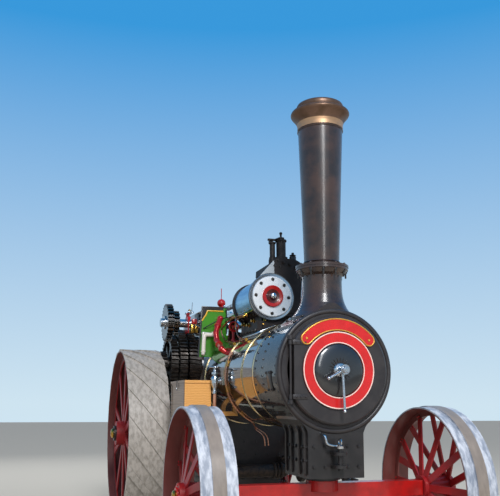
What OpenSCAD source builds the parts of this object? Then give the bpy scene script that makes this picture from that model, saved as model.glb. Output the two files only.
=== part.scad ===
// Steam traction engine, single cylinder, three shafts, chain steering.
// +X points forward, +Y to the engine's left and +Z up. The ground is z = 0.

/* [Wheels] */
// Distance of the front axle behind the smokebox's front
axle_back = 270; // [250:1:290]
// Radius of the rear wheel over its strakes
rear_wheel_r = 910; // [890:1:930]
// Width of the rear wheel's tread
rear_wheel_w = 406; // [360:1:450]
// Distance from the middle of the engine to the rear wheel's inner face
rear_wheel_in = 716; // [712:1:760]
// Number of diagonal strakes on each rear wheel
strakes = 20; // [12:1:24]
// Height of a strake over the rim
strake_h = 14; // [8:1:20]
// Radius of the front wheel over its middle band
front_wheel_r = 612; // [590:1:630]
// Width of the front wheel's tread
front_wheel_w = 241; // [200:1:280]
// Distance from the middle of the engine to the front wheel's outer face
front_wheel_out = 1057; // [1030:1:1090]
// Thickness of a wheel's rim plate
rim_t = 18; // [12:1:24]
// Radius of the rear axle
rear_axle_r = 55; // [45:1:60]
// Radius of the front wheel's journal
front_journal_r = 34; // [28:1:40]

/* [Boiler] */
// Height of the boiler's centre line over the ground
boiler_z = 1469; // [1455:1:1480]
// Radius of the boiler barrel over its cladding
clad_r = 425; // [415:1:428]
// Distance from the rear axle forward to the backhead
backhead_gap = 240; // [232:1:260]
// Length of the firebox
firebox_l = 810; // [790:1:830]
// Length of the clad barrel
barrel_l = 1580; // [1540:5:1620]
// Height of the foundation ring over the ground
foundation_z = 560; // [520:5:600]
// Height of the firebox crown over the ground
crown_z = 1852; // [1830:1:1854]
// Thickness of a boiler plate with its water space
water_leg = 85; // [70:1:100]
// Depth of the ashpan
ashpan_h = 140; // [100:5:170]
// Width of a boiler band
band_w = 52; // [30:1:60]
// Thickness of a boiler band
band_t = 5; // [3:0.5:8]

/* [Smokebox and chimney] */
// Length of the smokebox with its front ring
smokebox_l = 560; // [530:5:590]
// Radius of the smokebox wrapper
smokebox_r = 430; // [426:1:434]
// Thickness of the smokebox wrapper
smokebox_t = 12; // [8:1:16]
// Radius of the front ring
ring_r = 444; // [438:1:450]
// Thickness of the front ring
ring_t = 42; // [34:1:50]
// Radius of the smokebox door
door_r = 388; // [380:1:396]
// Distance of the door's hinge pin from the boiler's centre line
door_hinge_y = 352; // [346:1:360]
// Distance of the chimney's centre line behind the ring's front
chimney_back = 223; // [210:1:240]
// Radius of the chimney's bore through the base
chimney_bore_r = 118; // [100:1:124]
// Radius of the chimney barrel at its foot
chimney_foot_r = 132; // [128:1:142]
// Radius of the chimney barrel at its top
chimney_top_r = 172; // [164:1:182]
// Height of the base's flange over the ground
chimney_flange_z = 2243; // [2220:1:2270]
// Height of the cap's seat over the ground
cap_z = 3335; // [3290:1:3380]
// Height of the cap
cap_h = 205; // [190:1:225]
// Largest radius of the cap
cap_r = 227; // [218:1:236]

/* [Cylinder and motion] */
// Distance from the rear axle forward to the crankshaft
crank_ahead = 410; // [404:1:414]
// Height of the crankshaft over the ground
crank_z = 2090; // [2088:1:2094]
// Radius of the crankshaft
crank_shaft_r = 45; // [40:1:48]
// Throw of the crank, half the stroke
throw = 152; // [140:1:154]
// Length of the connecting rod between centres
rod_l = 968; // [955:1:972]
// Distance of the cylinder's axis from the middle of the engine, to the right
cyl_y = -133; // [-136:1:-130]
// Rise of the cylinder's axis towards the front
cyl_tilt = 1.4; // [1.2:0.1:1.6]
// Distance along the axis from the crank to the rear face of the cylinder block
block_back = 1300; // [1290:1:1310]
// Length of the cylinder block
block_l = 510; // [490:1:530]
// Radius of the cylinder's end flanges
flange_r = 200; // [192:1:206]
// Radius of the polished cover
cover_r = 175; // [165:1:180]
// Throw of an eccentric
eccentric_throw = 45; // [35:1:48]
// Radius of an eccentric sheave
sheave_r = 92; // [86:1:96]
// Radius of the flywheel
flywheel_r = 685; // [660:1:690]
// Width of the flywheel's rim
flywheel_w = 155; // [140:1:160]

/* [Gearing] */
// Module of every gear
gear_m = 14; // [13.8:0.1:14.1]
// Teeth of the low-speed pinion on the crankshaft
low_pinion_n = 17; // [17:1:18]
// Teeth of the low-speed gear on the second shaft
low_gear_n = 53; // [52:1:53]
// Teeth of the high-speed pinion on the crankshaft
high_pinion_n = 27; // [26:1:28]
// Teeth of the final pinion on the second shaft
final_pinion_n = 18; // [17:1:18]
// Teeth of the final gear on the rear axle
final_gear_n = 92; // [91:1:92]
// Radius of the second shaft
second_shaft_r = 38; // [32:1:42]

/* [Hornplates and tender] */
// Distance from the middle of the engine to a hornplate's inner face
horn_y = 440; // [430:1:442]
// Thickness of a hornplate
horn_t = 16; // [12:1:18]
// Height of the spectacle plate's top over the ground
plate_top_z = 2180; // [2160:1:2200]
// Distance of the spectacle plate ahead of the firebox
plate_ahead = 60; // [50:1:70]
// Half width of the spectacle plate
plate_half_w = 466; // [460:1:480]
// Half width of the tender
tender_half_w = 560; // [540:1:580]
// Distance from the rear axle back to the tender's front
tender_gap = 150; // [140:1:170]
// Length of the tender
tender_l = 1080; // [1000:10:1120]
// Height of the footplate over the ground
footplate_z = 800; // [760:1:840]
// Depth of the tender's water tank
tank_h = 330; // [280:5:360]
// Height of the coal bunker over the footplate
bunker_h = 760; // [700:5:820]
// Length of the coal bunker
bunker_l = 430; // [380:5:480]
// Thickness of the tender's plates
tender_t = 8; // [6:1:12]
// Length of the drawbar behind the tender
drawbar_l = 220; // [200:1:260]
// Radius of the drawbar pin's hole
drawbar_hole_r = 22; // [16:1:26]

/* [Steering] */
// Half height of the front axle beam
axle_half_h = 55; // [45:1:60]
// Distance of a chain's eye from the middle of the engine
chain_y = 440; // [430:1:450]
// Distance of the chain barrel ahead of the firebox
barrel_ahead = 250; // [240:1:280]
// Height of the chain barrel over the ground
barrel_z = 600; // [590:1:620]
// Radius of the chain barrel
barrel_r = 60; // [50:1:64]
// Length of one chain link
link_l = 116; // [100:1:120]
// Thickness of a chain link
link_t = 15; // [12:1:16]
// Radius of the steering wheel
steering_wheel_r = 200; // [180:1:220]

/* [Fittings] */
// Width of the toolbox
toolbox_w = 243; // [220:1:250]
// Length of the toolbox
toolbox_l = 550; // [500:5:600]
// Distance of the toolbox ahead of the firebox
toolbox_ahead = 90; // [84:1:110]
// Distance from the middle of the engine to the toolbox's outer side
toolbox_out = 760; // [740:1:770]
// Height of the toolbox's top over the ground
toolbox_top = 1437; // [1420:1:1450]
// Height of the toolbox without its lid
toolbox_h = 330; // [300:5:360]
// Thickness of the toolbox's boards
board_t = 20; // [14:1:24]
// Clearance between pieces that seat on each other's curves
seat = 0.3; // [0.2:0.1:0.5]
// Clearance between pieces that move past each other
running = 6; // [5:0.5:7]
// Clearance of a turning journal in its bore
journal = 0.6; // [0.4:0.1:0.9]

/* [Hidden] */
$fn = 96;

// Places along the engine. The origin lies under the middle of its length.
wheelbase = backhead_gap + firebox_l + barrel_l + smokebox_l - axle_back;
drawbar_reach = tender_gap + tender_l + drawbar_l;
front_reach = wheelbase + front_wheel_r;
rear_x = (drawbar_reach - front_reach) / 2;
front_x = rear_x + wheelbase;
backhead_x = rear_x + backhead_gap;
throat_x = backhead_x + firebox_l;
barrel_x = throat_x + barrel_l;
ring_x = barrel_x + smokebox_l;
chimney_x = ring_x - chimney_back;
plate_x = throat_x + plate_ahead;
plate_t = 12;
tender_x = rear_x - tender_gap;

// Crank, second shaft and the motion's places along the cylinder's axis.
crank_x = rear_x + crank_ahead;
second_centres = gear_m * (low_pinion_n + low_gear_n) / 2;
high_gear_n = low_pinion_n + low_gear_n - high_pinion_n;
final_centres = gear_m * (final_pinion_n + final_gear_n) / 2;
axle_to_crank = [crank_ahead, crank_z - rear_wheel_r];
centres_d = norm(axle_to_crank);
along_d = (final_centres ^ 2 - second_centres ^ 2 + centres_d ^ 2) / (2 * centres_d);
aside_d = sqrt(final_centres ^ 2 - along_d ^ 2);
second_x = rear_x + (axle_to_crank.x * along_d - axle_to_crank.y * aside_d) / centres_d;
second_z = rear_wheel_r + (axle_to_crank.y * along_d + axle_to_crank.x * aside_d) / centres_d;
// The final gear has a tooth and its pinion a gap on the line between their centres.
mesh_angle = atan2(second_z - rear_wheel_r, second_x - rear_x);
small_end_u = throw + rod_l;
block_front = block_back + block_l;
rod_half_w = 32;
web_t = 34;
horn_out = horn_y + horn_t;

// Gear faces, from the hornplate outwards on the right-hand side.
low_gear_y = [-horn_out - 89, -horn_out - 11];
high_gear_y = [-horn_out - 172, -horn_out - 96];
low_pinion_y = [-horn_out - 166, -horn_out - 102];
high_pinion_y = [-horn_out - 244, -horn_out - 178];
final_y = [-horn_out - 244, -horn_out - 184];

// Plain forms, each along one axis of the engine.
module along_x(x0, x1, r) translate([x0, 0, 0]) rotate([0, 90, 0]) cylinder(h = x1 - x0, r = r);
module along_y(y0, y1, r) translate([0, y0, 0]) rotate([-90, 0, 0]) cylinder(h = y1 - y0, r = r);
module along_z(z0, z1, r) translate([0, 0, z0]) cylinder(h = z1 - z0, r = r);
module along_x_at(x0, x1, r, z) translate([0, 0, z]) along_x(x0, x1, r);
module box(x, y, z) translate([x[0], y[0], z[0]]) cube([x[1] - x[0], y[1] - y[0], z[1] - z[0]]);
module side_plate(y0, y1) translate([0, y1, 0]) rotate([90, 0, 0]) linear_extrude(y1 - y0) children();
module cross_plate(x0, x1) translate([x0, 0, 0]) rotate([90, 0, 90]) linear_extrude(x1 - x0) children();
module turned_x() rotate([0, 90, 0]) rotate_extrude() children();
module both_sides() { children(); mirror([0, 1, 0]) children(); }
module bar(p, q, r) {
    d = q - p;
    translate(p) rotate([0, acos(d.z / norm(d)), atan2(d.y, d.x)]) cylinder(h = norm(d), r = r);
}
module pipe(route, r) {
    for (i = [1 : len(route) - 1]) bar(route[i - 1], route[i], r);
    if (len(route) > 2) for (i = [1 : len(route) - 2]) translate(route[i]) sphere(r + 3);
}
// The frame of the motion: the crankshaft is its origin and the cylinder's axis its X.
module motion() translate([crank_x, 0, crank_z]) rotate([0, -cyl_tilt, 0]) children();

// A spur gear's outline with straight-sided teeth.
function gear_outline(n) = [for (i = [0 : n - 1]) let (p = gear_m * n / 2, a = 360 / n)
    each [for (k = [[-0.34, -1.15], [-0.13, 0.93], [0.13, 0.93], [0.34, -1.15]])
        (p + k[1] * gear_m) * [cos((i + k[0]) * a), sin((i + k[0]) * a)]]];
module gear(n, y, bore, phase = 0) side_plate(y[0], y[1]) difference() {
    rotate(phase) polygon(gear_outline(n));
    circle(bore);
}
// A spoked gear: toothed rim, arms and hub.
module spoked_gear(n, y, rim, arms, arm_w, hub, bore, phase = 0) {
    root = gear_m * (n / 2 - 1.15);
    gear(n, y, root - rim, phase);
    side_plate(y[0] + 18, y[1] - 18) for (i = [0 : arms - 1]) rotate(i * 360 / arms)
        translate([hub - 8, -arm_w / 2]) square([root - rim - hub + 16, arm_w]);
    side_plate(y[0], y[1]) difference() { circle(hub); circle(bore); }
}

// Boiler and smokebox
module boiler() color("#2b1d18") translate([0, 0, boiler_z]) along_x(throat_x, barrel_x, clad_r);

// Each band's place along the barrel from its front, and its width as a share of the widest.
bands = [[0, 1], [0.2025, 0.6], [0.519, 0.75], [0.968, 0.5]];
module boiler_bands() color("#b5813a") difference() {
    translate([0, 0, boiler_z]) for (b = bands)
        translate([barrel_x - b[0] * barrel_l - b[1] * band_w, 0, 0]) turned_x()
            translate([clad_r + seat, 0]) square([band_t, b[1] * band_w]);
    box(saddle_x + [-2, 2], saddle_y + [-2, 2], [boiler_z + 200, boiler_z + clad_r + 60]);
    translate([valve_x, 0, valve_z]) along_y(-500, -300, valve_stub_r + 2);
}

module firebox_outline() intersection() {
    translate([0, crown_z - 470]) circle(470);
    translate([-horn_y, foundation_z]) square([2 * horn_y, crown_z]);
}
module firebox_shell() {
    cross_plate(backhead_x, throat_x) union() {
        firebox_outline();
        translate([-horn_y, foundation_z]) square([2 * horn_y, boiler_z - foundation_z]);
    }
}
firehole_z = 1180;
firehole_r = 135;
firehole_hinge_y = -190;
firehole_hinge_back = 14;
module firebox() color("#2a2320") difference() {
    union() {
        firebox_shell();
        for (s = [-1, 1]) translate([backhead_x, firehole_hinge_y, firehole_z + s * 70])
            box([-firehole_hinge_back - 12, 0], [-12, 12], [-9, 9]);
        box([backhead_x + 40, throat_x - 40], [-horn_y + 60, horn_y - 60],
            [foundation_z - ashpan_h, foundation_z]);
    }
    translate([backhead_x - firehole_hinge_back, firehole_hinge_y, firehole_z])
        along_z(-90, 90, 6 + journal);
    box([backhead_x + water_leg, throat_x - water_leg], [-horn_y + water_leg, horn_y - water_leg],
        [foundation_z + 20, crown_z - 330]);
    translate([0, 0, firehole_z]) along_x(backhead_x - 1, backhead_x + water_leg + 1, firehole_r);
}

module smokebox() color("#26262b") difference() {
    translate([0, 0, boiler_z]) difference() {
        along_x(barrel_x, ring_x - ring_t, smokebox_r);
        along_x(barrel_x + 18, ring_x, smokebox_r - smokebox_t);
    }
    translate([chimney_x, 0, 0]) along_z(boiler_z, boiler_z + 2 * smokebox_r, chimney_bore_r);
}

// The ring's front edge is rolled over, and the door shuts against the flat inside it.
ring_roll_r = 20;
ring_flat_t = 34;
module smokebox_ring() color("#2f2f34") translate([ring_x - ring_t, 0, boiler_z]) {
    turned_x() {
        translate([door_r - 22, 0]) square([ring_r - door_r + 22 - ring_roll_r, ring_flat_t]);
        translate([ring_r - 2 * ring_roll_r, 0]) square([2 * ring_roll_r, ring_t - ring_roll_r]);
        translate([ring_r - ring_roll_r, ring_t - ring_roll_r]) circle(ring_roll_r);
    }
    for (z = [-1, 1]) translate([ring_t, -door_hinge_y, z * hinge_z]) hinge_lug();
}
hinge_z = 222;
hinge_ahead = 20;
hinge_pin_r = 8;
module hinge_lug() difference() {
    union() {
        box([ring_flat_t - ring_t, hinge_ahead], [-16, 16], [-14, 14]);
        translate([hinge_ahead, 0, 0]) along_z(-14, 14, 16);
    }
    translate([hinge_ahead, 0, 0]) along_z(-15, 15, hinge_pin_r + journal);
}

// Chimney, in three castings
function flare(z, z0, z1, r0, r1) = r1 + (r0 - r1) * pow((z1 - z) / (z1 - z0), 3);
base_r = 148;
base_foot_r = 235;
base_flange_r = 196;
saddle_half = [172, 300];
saddle_plate_t = 14;
module chimney_base() color("#2a2322") difference() {
    translate([chimney_x, 0, 0]) union() {
        rotate_extrude() polygon(concat(
            [[chimney_bore_r, boiler_z + 340], [base_foot_r, boiler_z + 340]],
            [for (i = [0 : 8]) let (z0 = boiler_z + 400, z = z0 + i * (chimney_flange_z - 110 - z0) / 8)
                [flare(z, z0, chimney_flange_z - 110, base_foot_r, base_r), z]],
            [[base_r + 1, chimney_flange_z - 66], [base_r + 22, chimney_flange_z - 50],
             [base_flange_r - 6, chimney_flange_z - 22], [base_flange_r, chimney_flange_z - 18],
             [base_flange_r, chimney_flange_z], [chimney_bore_r, chimney_flange_z]]));
        intersection() {
            box([-saddle_half[0], saddle_half[0]], [-saddle_half[1], saddle_half[1]],
                [boiler_z, boiler_z + 2 * smokebox_r]);
            translate([0, 0, boiler_z])
                along_x(-saddle_half[0], saddle_half[0], smokebox_r + saddle_plate_t);
        }
    }
    // The foot's flare is cut off where the saddle plate ends.
    for (s = [-1, 1]) translate([chimney_x + s * (saddle_half[0] + 100), 0, boiler_z])
        box([-100, 100], [-saddle_half[1], saddle_half[1]], [0, 560]);
    translate([0, 0, boiler_z]) along_x(barrel_x - 100, ring_x + 100, smokebox_r + seat);
    translate([chimney_x, 0, 0]) along_z(boiler_z, chimney_flange_z + 1, chimney_bore_r);
}
chimney_wall = 7;
module chimney() color("#1f1a1c") translate([chimney_x, 0, 0]) rotate_extrude() polygon([
    [chimney_bore_r, chimney_flange_z], [base_flange_r + 4, chimney_flange_z],
    [base_flange_r + 4, chimney_flange_z + 16], [chimney_foot_r + 8, chimney_flange_z + 21],
    [chimney_foot_r, chimney_flange_z + 36], [chimney_top_r, cap_z],
    [chimney_top_r - chimney_wall, cap_z], [chimney_foot_r - chimney_wall, chimney_flange_z + 36]]);

// The cap's profile: a collar that flares into the bell, its shoulder and the rolled lip.
// Each point is a share of the bell's swell beyond the collar, and a height over the seat.
collar_r = chimney_top_r + 4;
cap_table_h = 205;
cap_swell = [[0, 0], [0, 30], [0.06, 48], [0.18, 64], [0.4, 82], [0.68, 100], [0.9, 112], [1, 122],
    [1, 130], [0.92, 139], [0.7, 147], [0.4, 153], [0.12, 157]];
lip_roll = [[0.08, 162], [0.12, 172], [0.12, 188], [0.02, 199], [-0.16, 205], [-0.34, 201], [-0.4, 192]];
module chimney_cap() color("#6d5647") translate([chimney_x, 0, cap_z]) rotate_extrude() {
    swell = cap_r - collar_r;
    high = cap_h / cap_table_h;
    polygon(concat([for (p = concat(cap_swell, lip_roll)) [collar_r + swell * p[0], high * p[1]]],
        [for (i = [len(cap_swell) - 1 : -1 : 3]) let (p = cap_swell[i])
            [collar_r + swell * p[0] - 14, high * p[1]]],
        [[chimney_top_r - chimney_wall, high * 46], [chimney_top_r - chimney_wall, 0]]));
}

// Smokebox door, with the door's hinge straps
door_t = 40;
dart_x = 74;
module smokebox_door() color("#313136") translate([ring_x, 0, boiler_z]) {
        difference() {
            turned_x() polygon(concat([[0, 0], [door_r, 0], [door_r, 20], [door_r - 6, 32],
                [door_r - 16, door_t], [plate_ring_r[1] + 4, door_t], [plate_ring_r[1] + 4, door_t + 6],
                [plate_ring_r[0], door_t + 6]],
                [for (i = [0 : 5]) let (a = 15 * i + 10)
                    [62 + (plate_ring_r[0] - 66) * cos(a), door_t + 6 + (dart_x - door_t - 6) * sin(a)]],
                [[0, dart_x]]));
            box([-1, 200], [-door_r - 1, -door_hinge_y + 19], [-door_r, door_r]);
        }
        for (z = [-1, 1]) translate([0, 0, z * (hinge_z - 34)]) {
            box([8, 30], [-door_hinge_y, -door_hinge_y + 120], [-15, 15]);
            translate([hinge_ahead, -door_hinge_y, 0]) along_z(-15, 15, 14);
        }
        translate([hinge_ahead, -door_hinge_y, 0]) along_z(-hinge_z - 18, hinge_z + 18, hinge_pin_r);
}
plate_ring_r = [190, 271];
plate_arc_r = [279, 368];
plate_arc_half = 48;
door_plate_t = 8;
// The round plate lies on the door's annulus and the arched plate above it.
module door_plates() color("#d3302f") translate([ring_x, 0, boiler_z]) {
    translate([door_t + 6, 0, 0]) turned_x() translate([plate_ring_r[0], 0])
        square([plate_ring_r[1] - plate_ring_r[0], door_plate_t]);
    mid = (plate_arc_r[0] + plate_arc_r[1]) / 2;
    half = (plate_arc_r[1] - plate_arc_r[0]) / 2;
    translate([door_t, 0, 0]) cross_plate(0, door_plate_t) {
        intersection() {
            difference() { circle(plate_arc_r[1]); circle(plate_arc_r[0]); }
            polygon([[0, 0], 500 * [-sin(plate_arc_half), cos(plate_arc_half)], [0, 700],
                500 * [sin(plate_arc_half), cos(plate_arc_half)]]);
        }
        for (s = [-1, 1]) translate(mid * [s * sin(plate_arc_half), cos(plate_arc_half)]) circle(half);
    }
}
module door_handles() color("#d9dcdf") translate([ring_x + dart_x, 0, boiler_z]) {
    turned_x() polygon([[0, 0], [52, 0], [44, 12], [26, 16], [24, 46], [19, 48], [19, 84], [12, 92],
        [0, 92]]);
    bar([34, 0, 0], [42, 8, -285], 9);
    translate([42, 8, -285]) sphere(13);
    bar([64, 0, 0], [70, -120, -62], 9);
    translate([70, -120, -62]) sphere(13);
}

// Cylinder block, saddle and what stands on it
block_mid = [-60, 198];
dome_at = [50, 196];
dome_r = 150;
module block_outline() {
    translate(dome_at) circle(dome_r);
    polygon([[block_mid[0], 150], [block_mid[0], 190], [-112, 262], [-108, 318], [-20, 336],
        [50, 346], [block_mid[1], 220], [block_mid[1], -40], [110, -160], [block_mid[0], -160]]);
}
ear_at = [-75, 322];
ear_r = 24;
// The front flange is round with one pointed ear above it.
module flange_outline() {
    translate([cyl_y, 0]) circle(flange_r);
    translate(ear_at) circle(ear_r);
    polygon([[cyl_y - 118, 160], ear_at + ear_r * [-0.8, 0.5], ear_at + ear_r * [1, 0], [cyl_y + 130, 150]]);
}
bore_wall_r = 165;
saddle_x = [crank_x + block_back + 30, crank_x + block_front - 30];
saddle_y = [cyl_y - 120, 250];
valve_u = 1690;
valve_seat_v = 352;
thin_valve_y = -79;
thin_seat_v = 352;
module cylinder_block() color("#3a2a24") difference() {
    union() {
        motion() {
            translate([0, cyl_y, 0]) along_x(block_back, block_front, bore_wall_r);
            cross_plate(block_back, block_back + 24) translate([cyl_y, 0]) circle(flange_r);
            cross_plate(block_front - 24, block_front) flange_outline();
            cross_plate(block_back + 20, block_front - 12) block_outline();
            cross_plate(block_front - 12, block_front - 4) offset(-26) block_outline();
        }
        box(saddle_x + [30, -30], saddle_y + [50, -60], [boiler_z + 300, crank_z - 40]);
        box(saddle_x, saddle_y, [boiler_z + 280, boiler_z + clad_r + 34]);
        motion() translate([valve_u, 2, 0]) along_z(300, valve_seat_v, 66);
        motion() translate([valve_u, thin_valve_y, 0]) along_z(250, thin_seat_v, 34);
    }
    translate([0, 0, boiler_z]) along_x(throat_x, ring_x, clad_r + seat);
}
lag_r = [bore_wall_r + seat, 186];
module cylinder_lagging() color("#a9b4c2") motion() translate([0, cyl_y, 0]) difference() {
    translate([block_back + 24 + seat, 0, 0]) turned_x()
        translate([lag_r[0], 0]) square([lag_r[1] - lag_r[0], block_l - 48 - 2 * seat]);
    box([block_back, block_front], [block_mid[0] - cyl_y - seat, 400], [-400, 400]);
    box([block_back, block_front], [-400, 400], [-400, -118]);
    translate([0, dome_at.x - cyl_y, dome_at.y]) along_x(block_back, block_front, dome_r + seat);
}
module cylinder_cover() color("#d8dbde") motion() translate([block_front, cyl_y, 0]) {
    turned_x() polygon([[0, 0], [cover_r, 0], [cover_r, 20], [cover_r - 6, 24], [98, 24], [98, 34],
        [86, 44], [52, 44], [46, 30], [26, 30], [26, 48], [0, 48]]);
    for (i = [0 : 7]) rotate([i * 45 + 22.5, 0, 0]) translate([0, 0, 140]) along_x(24, 40, 13);
}
module safety_valves() color("#463630") motion() {
    translate([valve_u, 2, 0]) {
        along_z(valve_seat_v, 376, 58);
        along_z(376, 520, 42);
        along_z(520, 534, 50);
        along_z(534, 556, 30);
        along_z(556, 590, 9);
        translate([0, 0, 596]) sphere(14);
    }
    translate([valve_u, thin_valve_y, 0]) {
        along_z(thin_seat_v, 372, 30);
        along_z(372, 496, 24);
        along_z(496, 508, 31);
        along_z(508, 526, 8);
    }
    // The spring balance's lever lies across both columns.
    translate([valve_u - 14, 0, 0]) box([0, 28], [thin_valve_y - 40, 14], [526, 540]);
}

// Slide bars, crosshead and valve gear
bar_v = [42, 72];
bar_y = [[cyl_y - 100, cyl_y - 57], [cyl_y + 57, cyl_y + 100]];
motion_plate_x = plate_x + 200;
module slide_bars() color("#c9ccd0") difference() {
    union() {
        motion() for (y = bar_y) for (s = [-1, 1]) {
            v = s > 0 ? bar_v : [-bar_v[1], -bar_v[0]];
            box([plate_x - crank_x - 20, block_back], y, v);
        }
        // The motion plate stands on the boiler and carries the two lower bars.
        motion() cross_plate(motion_plate_x - crank_x, motion_plate_x - crank_x + 16) difference() {
            polygon([[bar_y[0][0] - 34, -300], [bar_y[0][0] - 12, -150], [bar_y[0][0], -bar_v[1]],
                [bar_y[1][1], -bar_v[1]], [bar_y[1][1] + 8, -150], [bar_y[1][1] + 30, -300]]);
            hull() for (v = [-140, 0]) translate([cyl_y, v]) circle(57);
        }
    }
    translate([0, 0, boiler_z]) along_x(throat_x, ring_x, clad_r + seat);
    box([plate_x - 60, plate_x + plate_t], [-500, 500], [crank_z - 300, crank_z + 300]);
}
cross_u = small_end_u + 48;
module crosshead() color("#c4c7ca") motion() {
    for (s = [-1, 1]) translate([0, cyl_y, 0]) {
        y = [s * 56, s * 98];
        box([small_end_u - 90, cross_u + 60], [min(y), max(y)], [-bar_v[0] + seat, bar_v[0] - seat]);
    }
    box([cross_u, cross_u + 60], [cyl_y - 56, cyl_y + 56], [-34, 34]);
    for (s = [-1, 1]) {
        a = cyl_y + s * (rod_half_w + running);
        b = cyl_y + s * 58;
        box([small_end_u - 60, cross_u + 60], [min(a, b), max(a, b)], [-30, 30]);
    }
    translate([0, cyl_y, 0]) along_x(cross_u + 60, block_back, 24);
}
valve_y = 56;
link_u = 905;
spindle_at = 1000;
spindle_r = 16;
ecc_y = [valve_y - 42, valve_y - 12];
module valve_gear() color("#b9bdc2") motion() {
    translate([link_u, 0, 0]) side_plate(valve_y - 6, valve_y + 6) intersection() {
        translate([-600, 0]) difference() { circle(626); circle(574); }
        translate([-60, -120]) square([120, 240]);
    }
    side_plate(valve_y - 6, valve_y + 6) translate([link_u, -spindle_r])
        square([spindle_at - link_u + 4, 2 * spindle_r]);
    translate([0, valve_y, 0]) {
        along_x(spindle_at, block_back, spindle_r);
        along_x(block_back - 30, block_back, 34);
    }
}

// Crankshaft, its bearings, the flywheel and the rods
module web() side_plate(0, web_t) {
    circle(72);
    translate([throw, 0]) circle(58);
    polygon([[0, 72], [throw, 58], [throw, -58], [0, -72]]);
}
pin_half = rod_half_w + running;
module crankshaft() color("#aab0b6") motion() {
    along_y(high_pinion_y[0] - 48, cyl_y - pin_half - 2, crank_shaft_r);
    along_y(cyl_y + pin_half + 2, horn_out + 250, crank_shaft_r);
    for (y = [cyl_y - pin_half - web_t, cyl_y + pin_half]) translate([0, y, 0]) web();
    translate([throw, 0, 0]) along_y(cyl_y - pin_half - web_t, cyl_y + pin_half + web_t, 38);
    gear(low_pinion_n, low_pinion_y, crank_shaft_r - 5);
    gear(high_pinion_n, high_pinion_y, crank_shaft_r - 5);
    along_y(high_pinion_y[0] - 12, low_pinion_y[1] + 6, 72);
    for (e = [[0, 120], [1, -120]]) rotate([0, -e[1], 0]) translate([eccentric_throw, 0, 0])
        along_y(ecc_y[0] + e[0] * 54, ecc_y[1] + e[0] * 54, sheave_r);
}
flywheel_y = [horn_out + 74, horn_out + 74 + flywheel_w];
module flywheel() color("#a02723") translate([crank_x, 0, crank_z]) {
    side_plate(flywheel_y[0], flywheel_y[1]) difference() { circle(flywheel_r); circle(flywheel_r - 44); }
    side_plate(flywheel_y[0] + 50, flywheel_y[1] - 50) difference() {
        circle(flywheel_r - 40);
        circle(flywheel_r - 76);
    }
    side_plate(flywheel_y[0] + 56, flywheel_y[1] - 56) for (i = [0 : 5]) rotate(i * 60) intersection() {
        translate([flywheel_r, 0]) difference() { circle(flywheel_r + 27); circle(flywheel_r - 27); }
        difference() { circle(flywheel_r - 60); circle(90); }
        translate([-30, 0]) square(flywheel_r);
    }
    side_plate(flywheel_y[0] - 6, flywheel_y[1] + 6) difference() {
        circle(108);
        circle(crank_shaft_r + seat);
    }
}
bearing_y = [horn_y - 60, horn_out + 8];
module crank_bearings() color("#b3302c") both_sides() translate([crank_x, 0, crank_z]) difference() {
    union() {
        box([-88, 88], bearing_y, [bearing_seat_z - crank_z, 0]);
        along_y(bearing_y[0], bearing_y[1], 78);
        for (s = [-1, 1]) translate([s * 70, 0, 0]) box([-18, 18], bearing_y + [8, -8], [0, 40]);
        translate([0, (horn_y + horn_out) / 2, 0]) along_z(60, 110, 20);
    }
    along_y(horn_y - 80, horn_out + 60, crank_shaft_r + journal);
}
module connecting_rod() color("#d2d5d8") motion() translate([throw, cyl_y, 0]) {
    difference() {
        union() {
            along_y(-rod_half_w, rod_half_w, 64);
            box([-40, 96], [-rod_half_w, rod_half_w], [-50, 50]);
        }
        along_y(-rod_half_w - 1, rod_half_w + 1, 38 + journal);
    }
    side_plate(-18, 18) polygon([[90, -32], [90, 32], [rod_l - 20, 24], [rod_l - 20, -24]]);
    translate([rod_l, 0, 0]) along_y(-rod_half_w, rod_half_w, 40);
}
// A rod from an eccentric's strap to its end of the link.
module eccentric_rod(y0, angle, end_v) motion() {
    c = eccentric_throw * [cos(angle), sin(angle)];
    end = [link_u - 14, end_v] - c;
    translate([c[0], y0, c[1]]) {
        side_plate(0, 30) {
            difference() { circle(sheave_r + 24); circle(sheave_r + journal); }
            rotate(atan2(end[1], end[0])) translate([sheave_r + 14, -15])
                square([norm(end) - sheave_r - 30, 30]);
            translate(end) circle(24);
        }
    }
}
module eccentric_rod_fore() color("#cfd2d5") eccentric_rod(ecc_y[0], 120, 92);
module eccentric_rod_back() color("#cfd2d5") eccentric_rod(ecc_y[0] + 54, -120, -92);

// Second shaft and rear axle with their gears
module second_shaft() color("#8f959b") translate([second_x, 0, second_z]) {
    along_y(final_y[0] - 4, horn_out + 44, second_shaft_r);
    spoked_gear(low_gear_n, low_gear_y, 34, 6, 60, 84, second_shaft_r - 4);
    spoked_gear(high_gear_n, high_gear_y, 32, 6, 54, 80, second_shaft_r - 4);
    gear(final_pinion_n, final_y, second_shaft_r - 4, mesh_angle + 180 + 180 / final_pinion_n);
    along_y(final_y[1] - 6, low_gear_y[1] + 6, 66);
    both_sides() along_y(horn_y - 24, horn_out, 58);
    along_y(horn_out, horn_out + 36, 80);
}
module rear_axle() color("#6f7377") translate([rear_x, 0, rear_wheel_r]) {
    along_y(-rear_hub_out - 26, rear_hub_out + 26, rear_axle_r);
    spoked_gear(final_gear_n, final_y, 36, 8, 70, 120, rear_axle_r - 4, mesh_angle);
    both_sides() {
        along_y(horn_y - 30, horn_out, rear_axle_r + 25);
        difference() {
            box([-110, 110], [horn_out, horn_out + 46], [-110, 110]);
            along_y(horn_out - 1, horn_out + 47, rear_axle_r - 4);
        }
        along_y(rear_hub_out + 2, rear_hub_out + 22, rear_axle_r + 26);
    }
}
rear_hub_out = rear_wheel_in + rear_wheel_w + 14;

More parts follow.
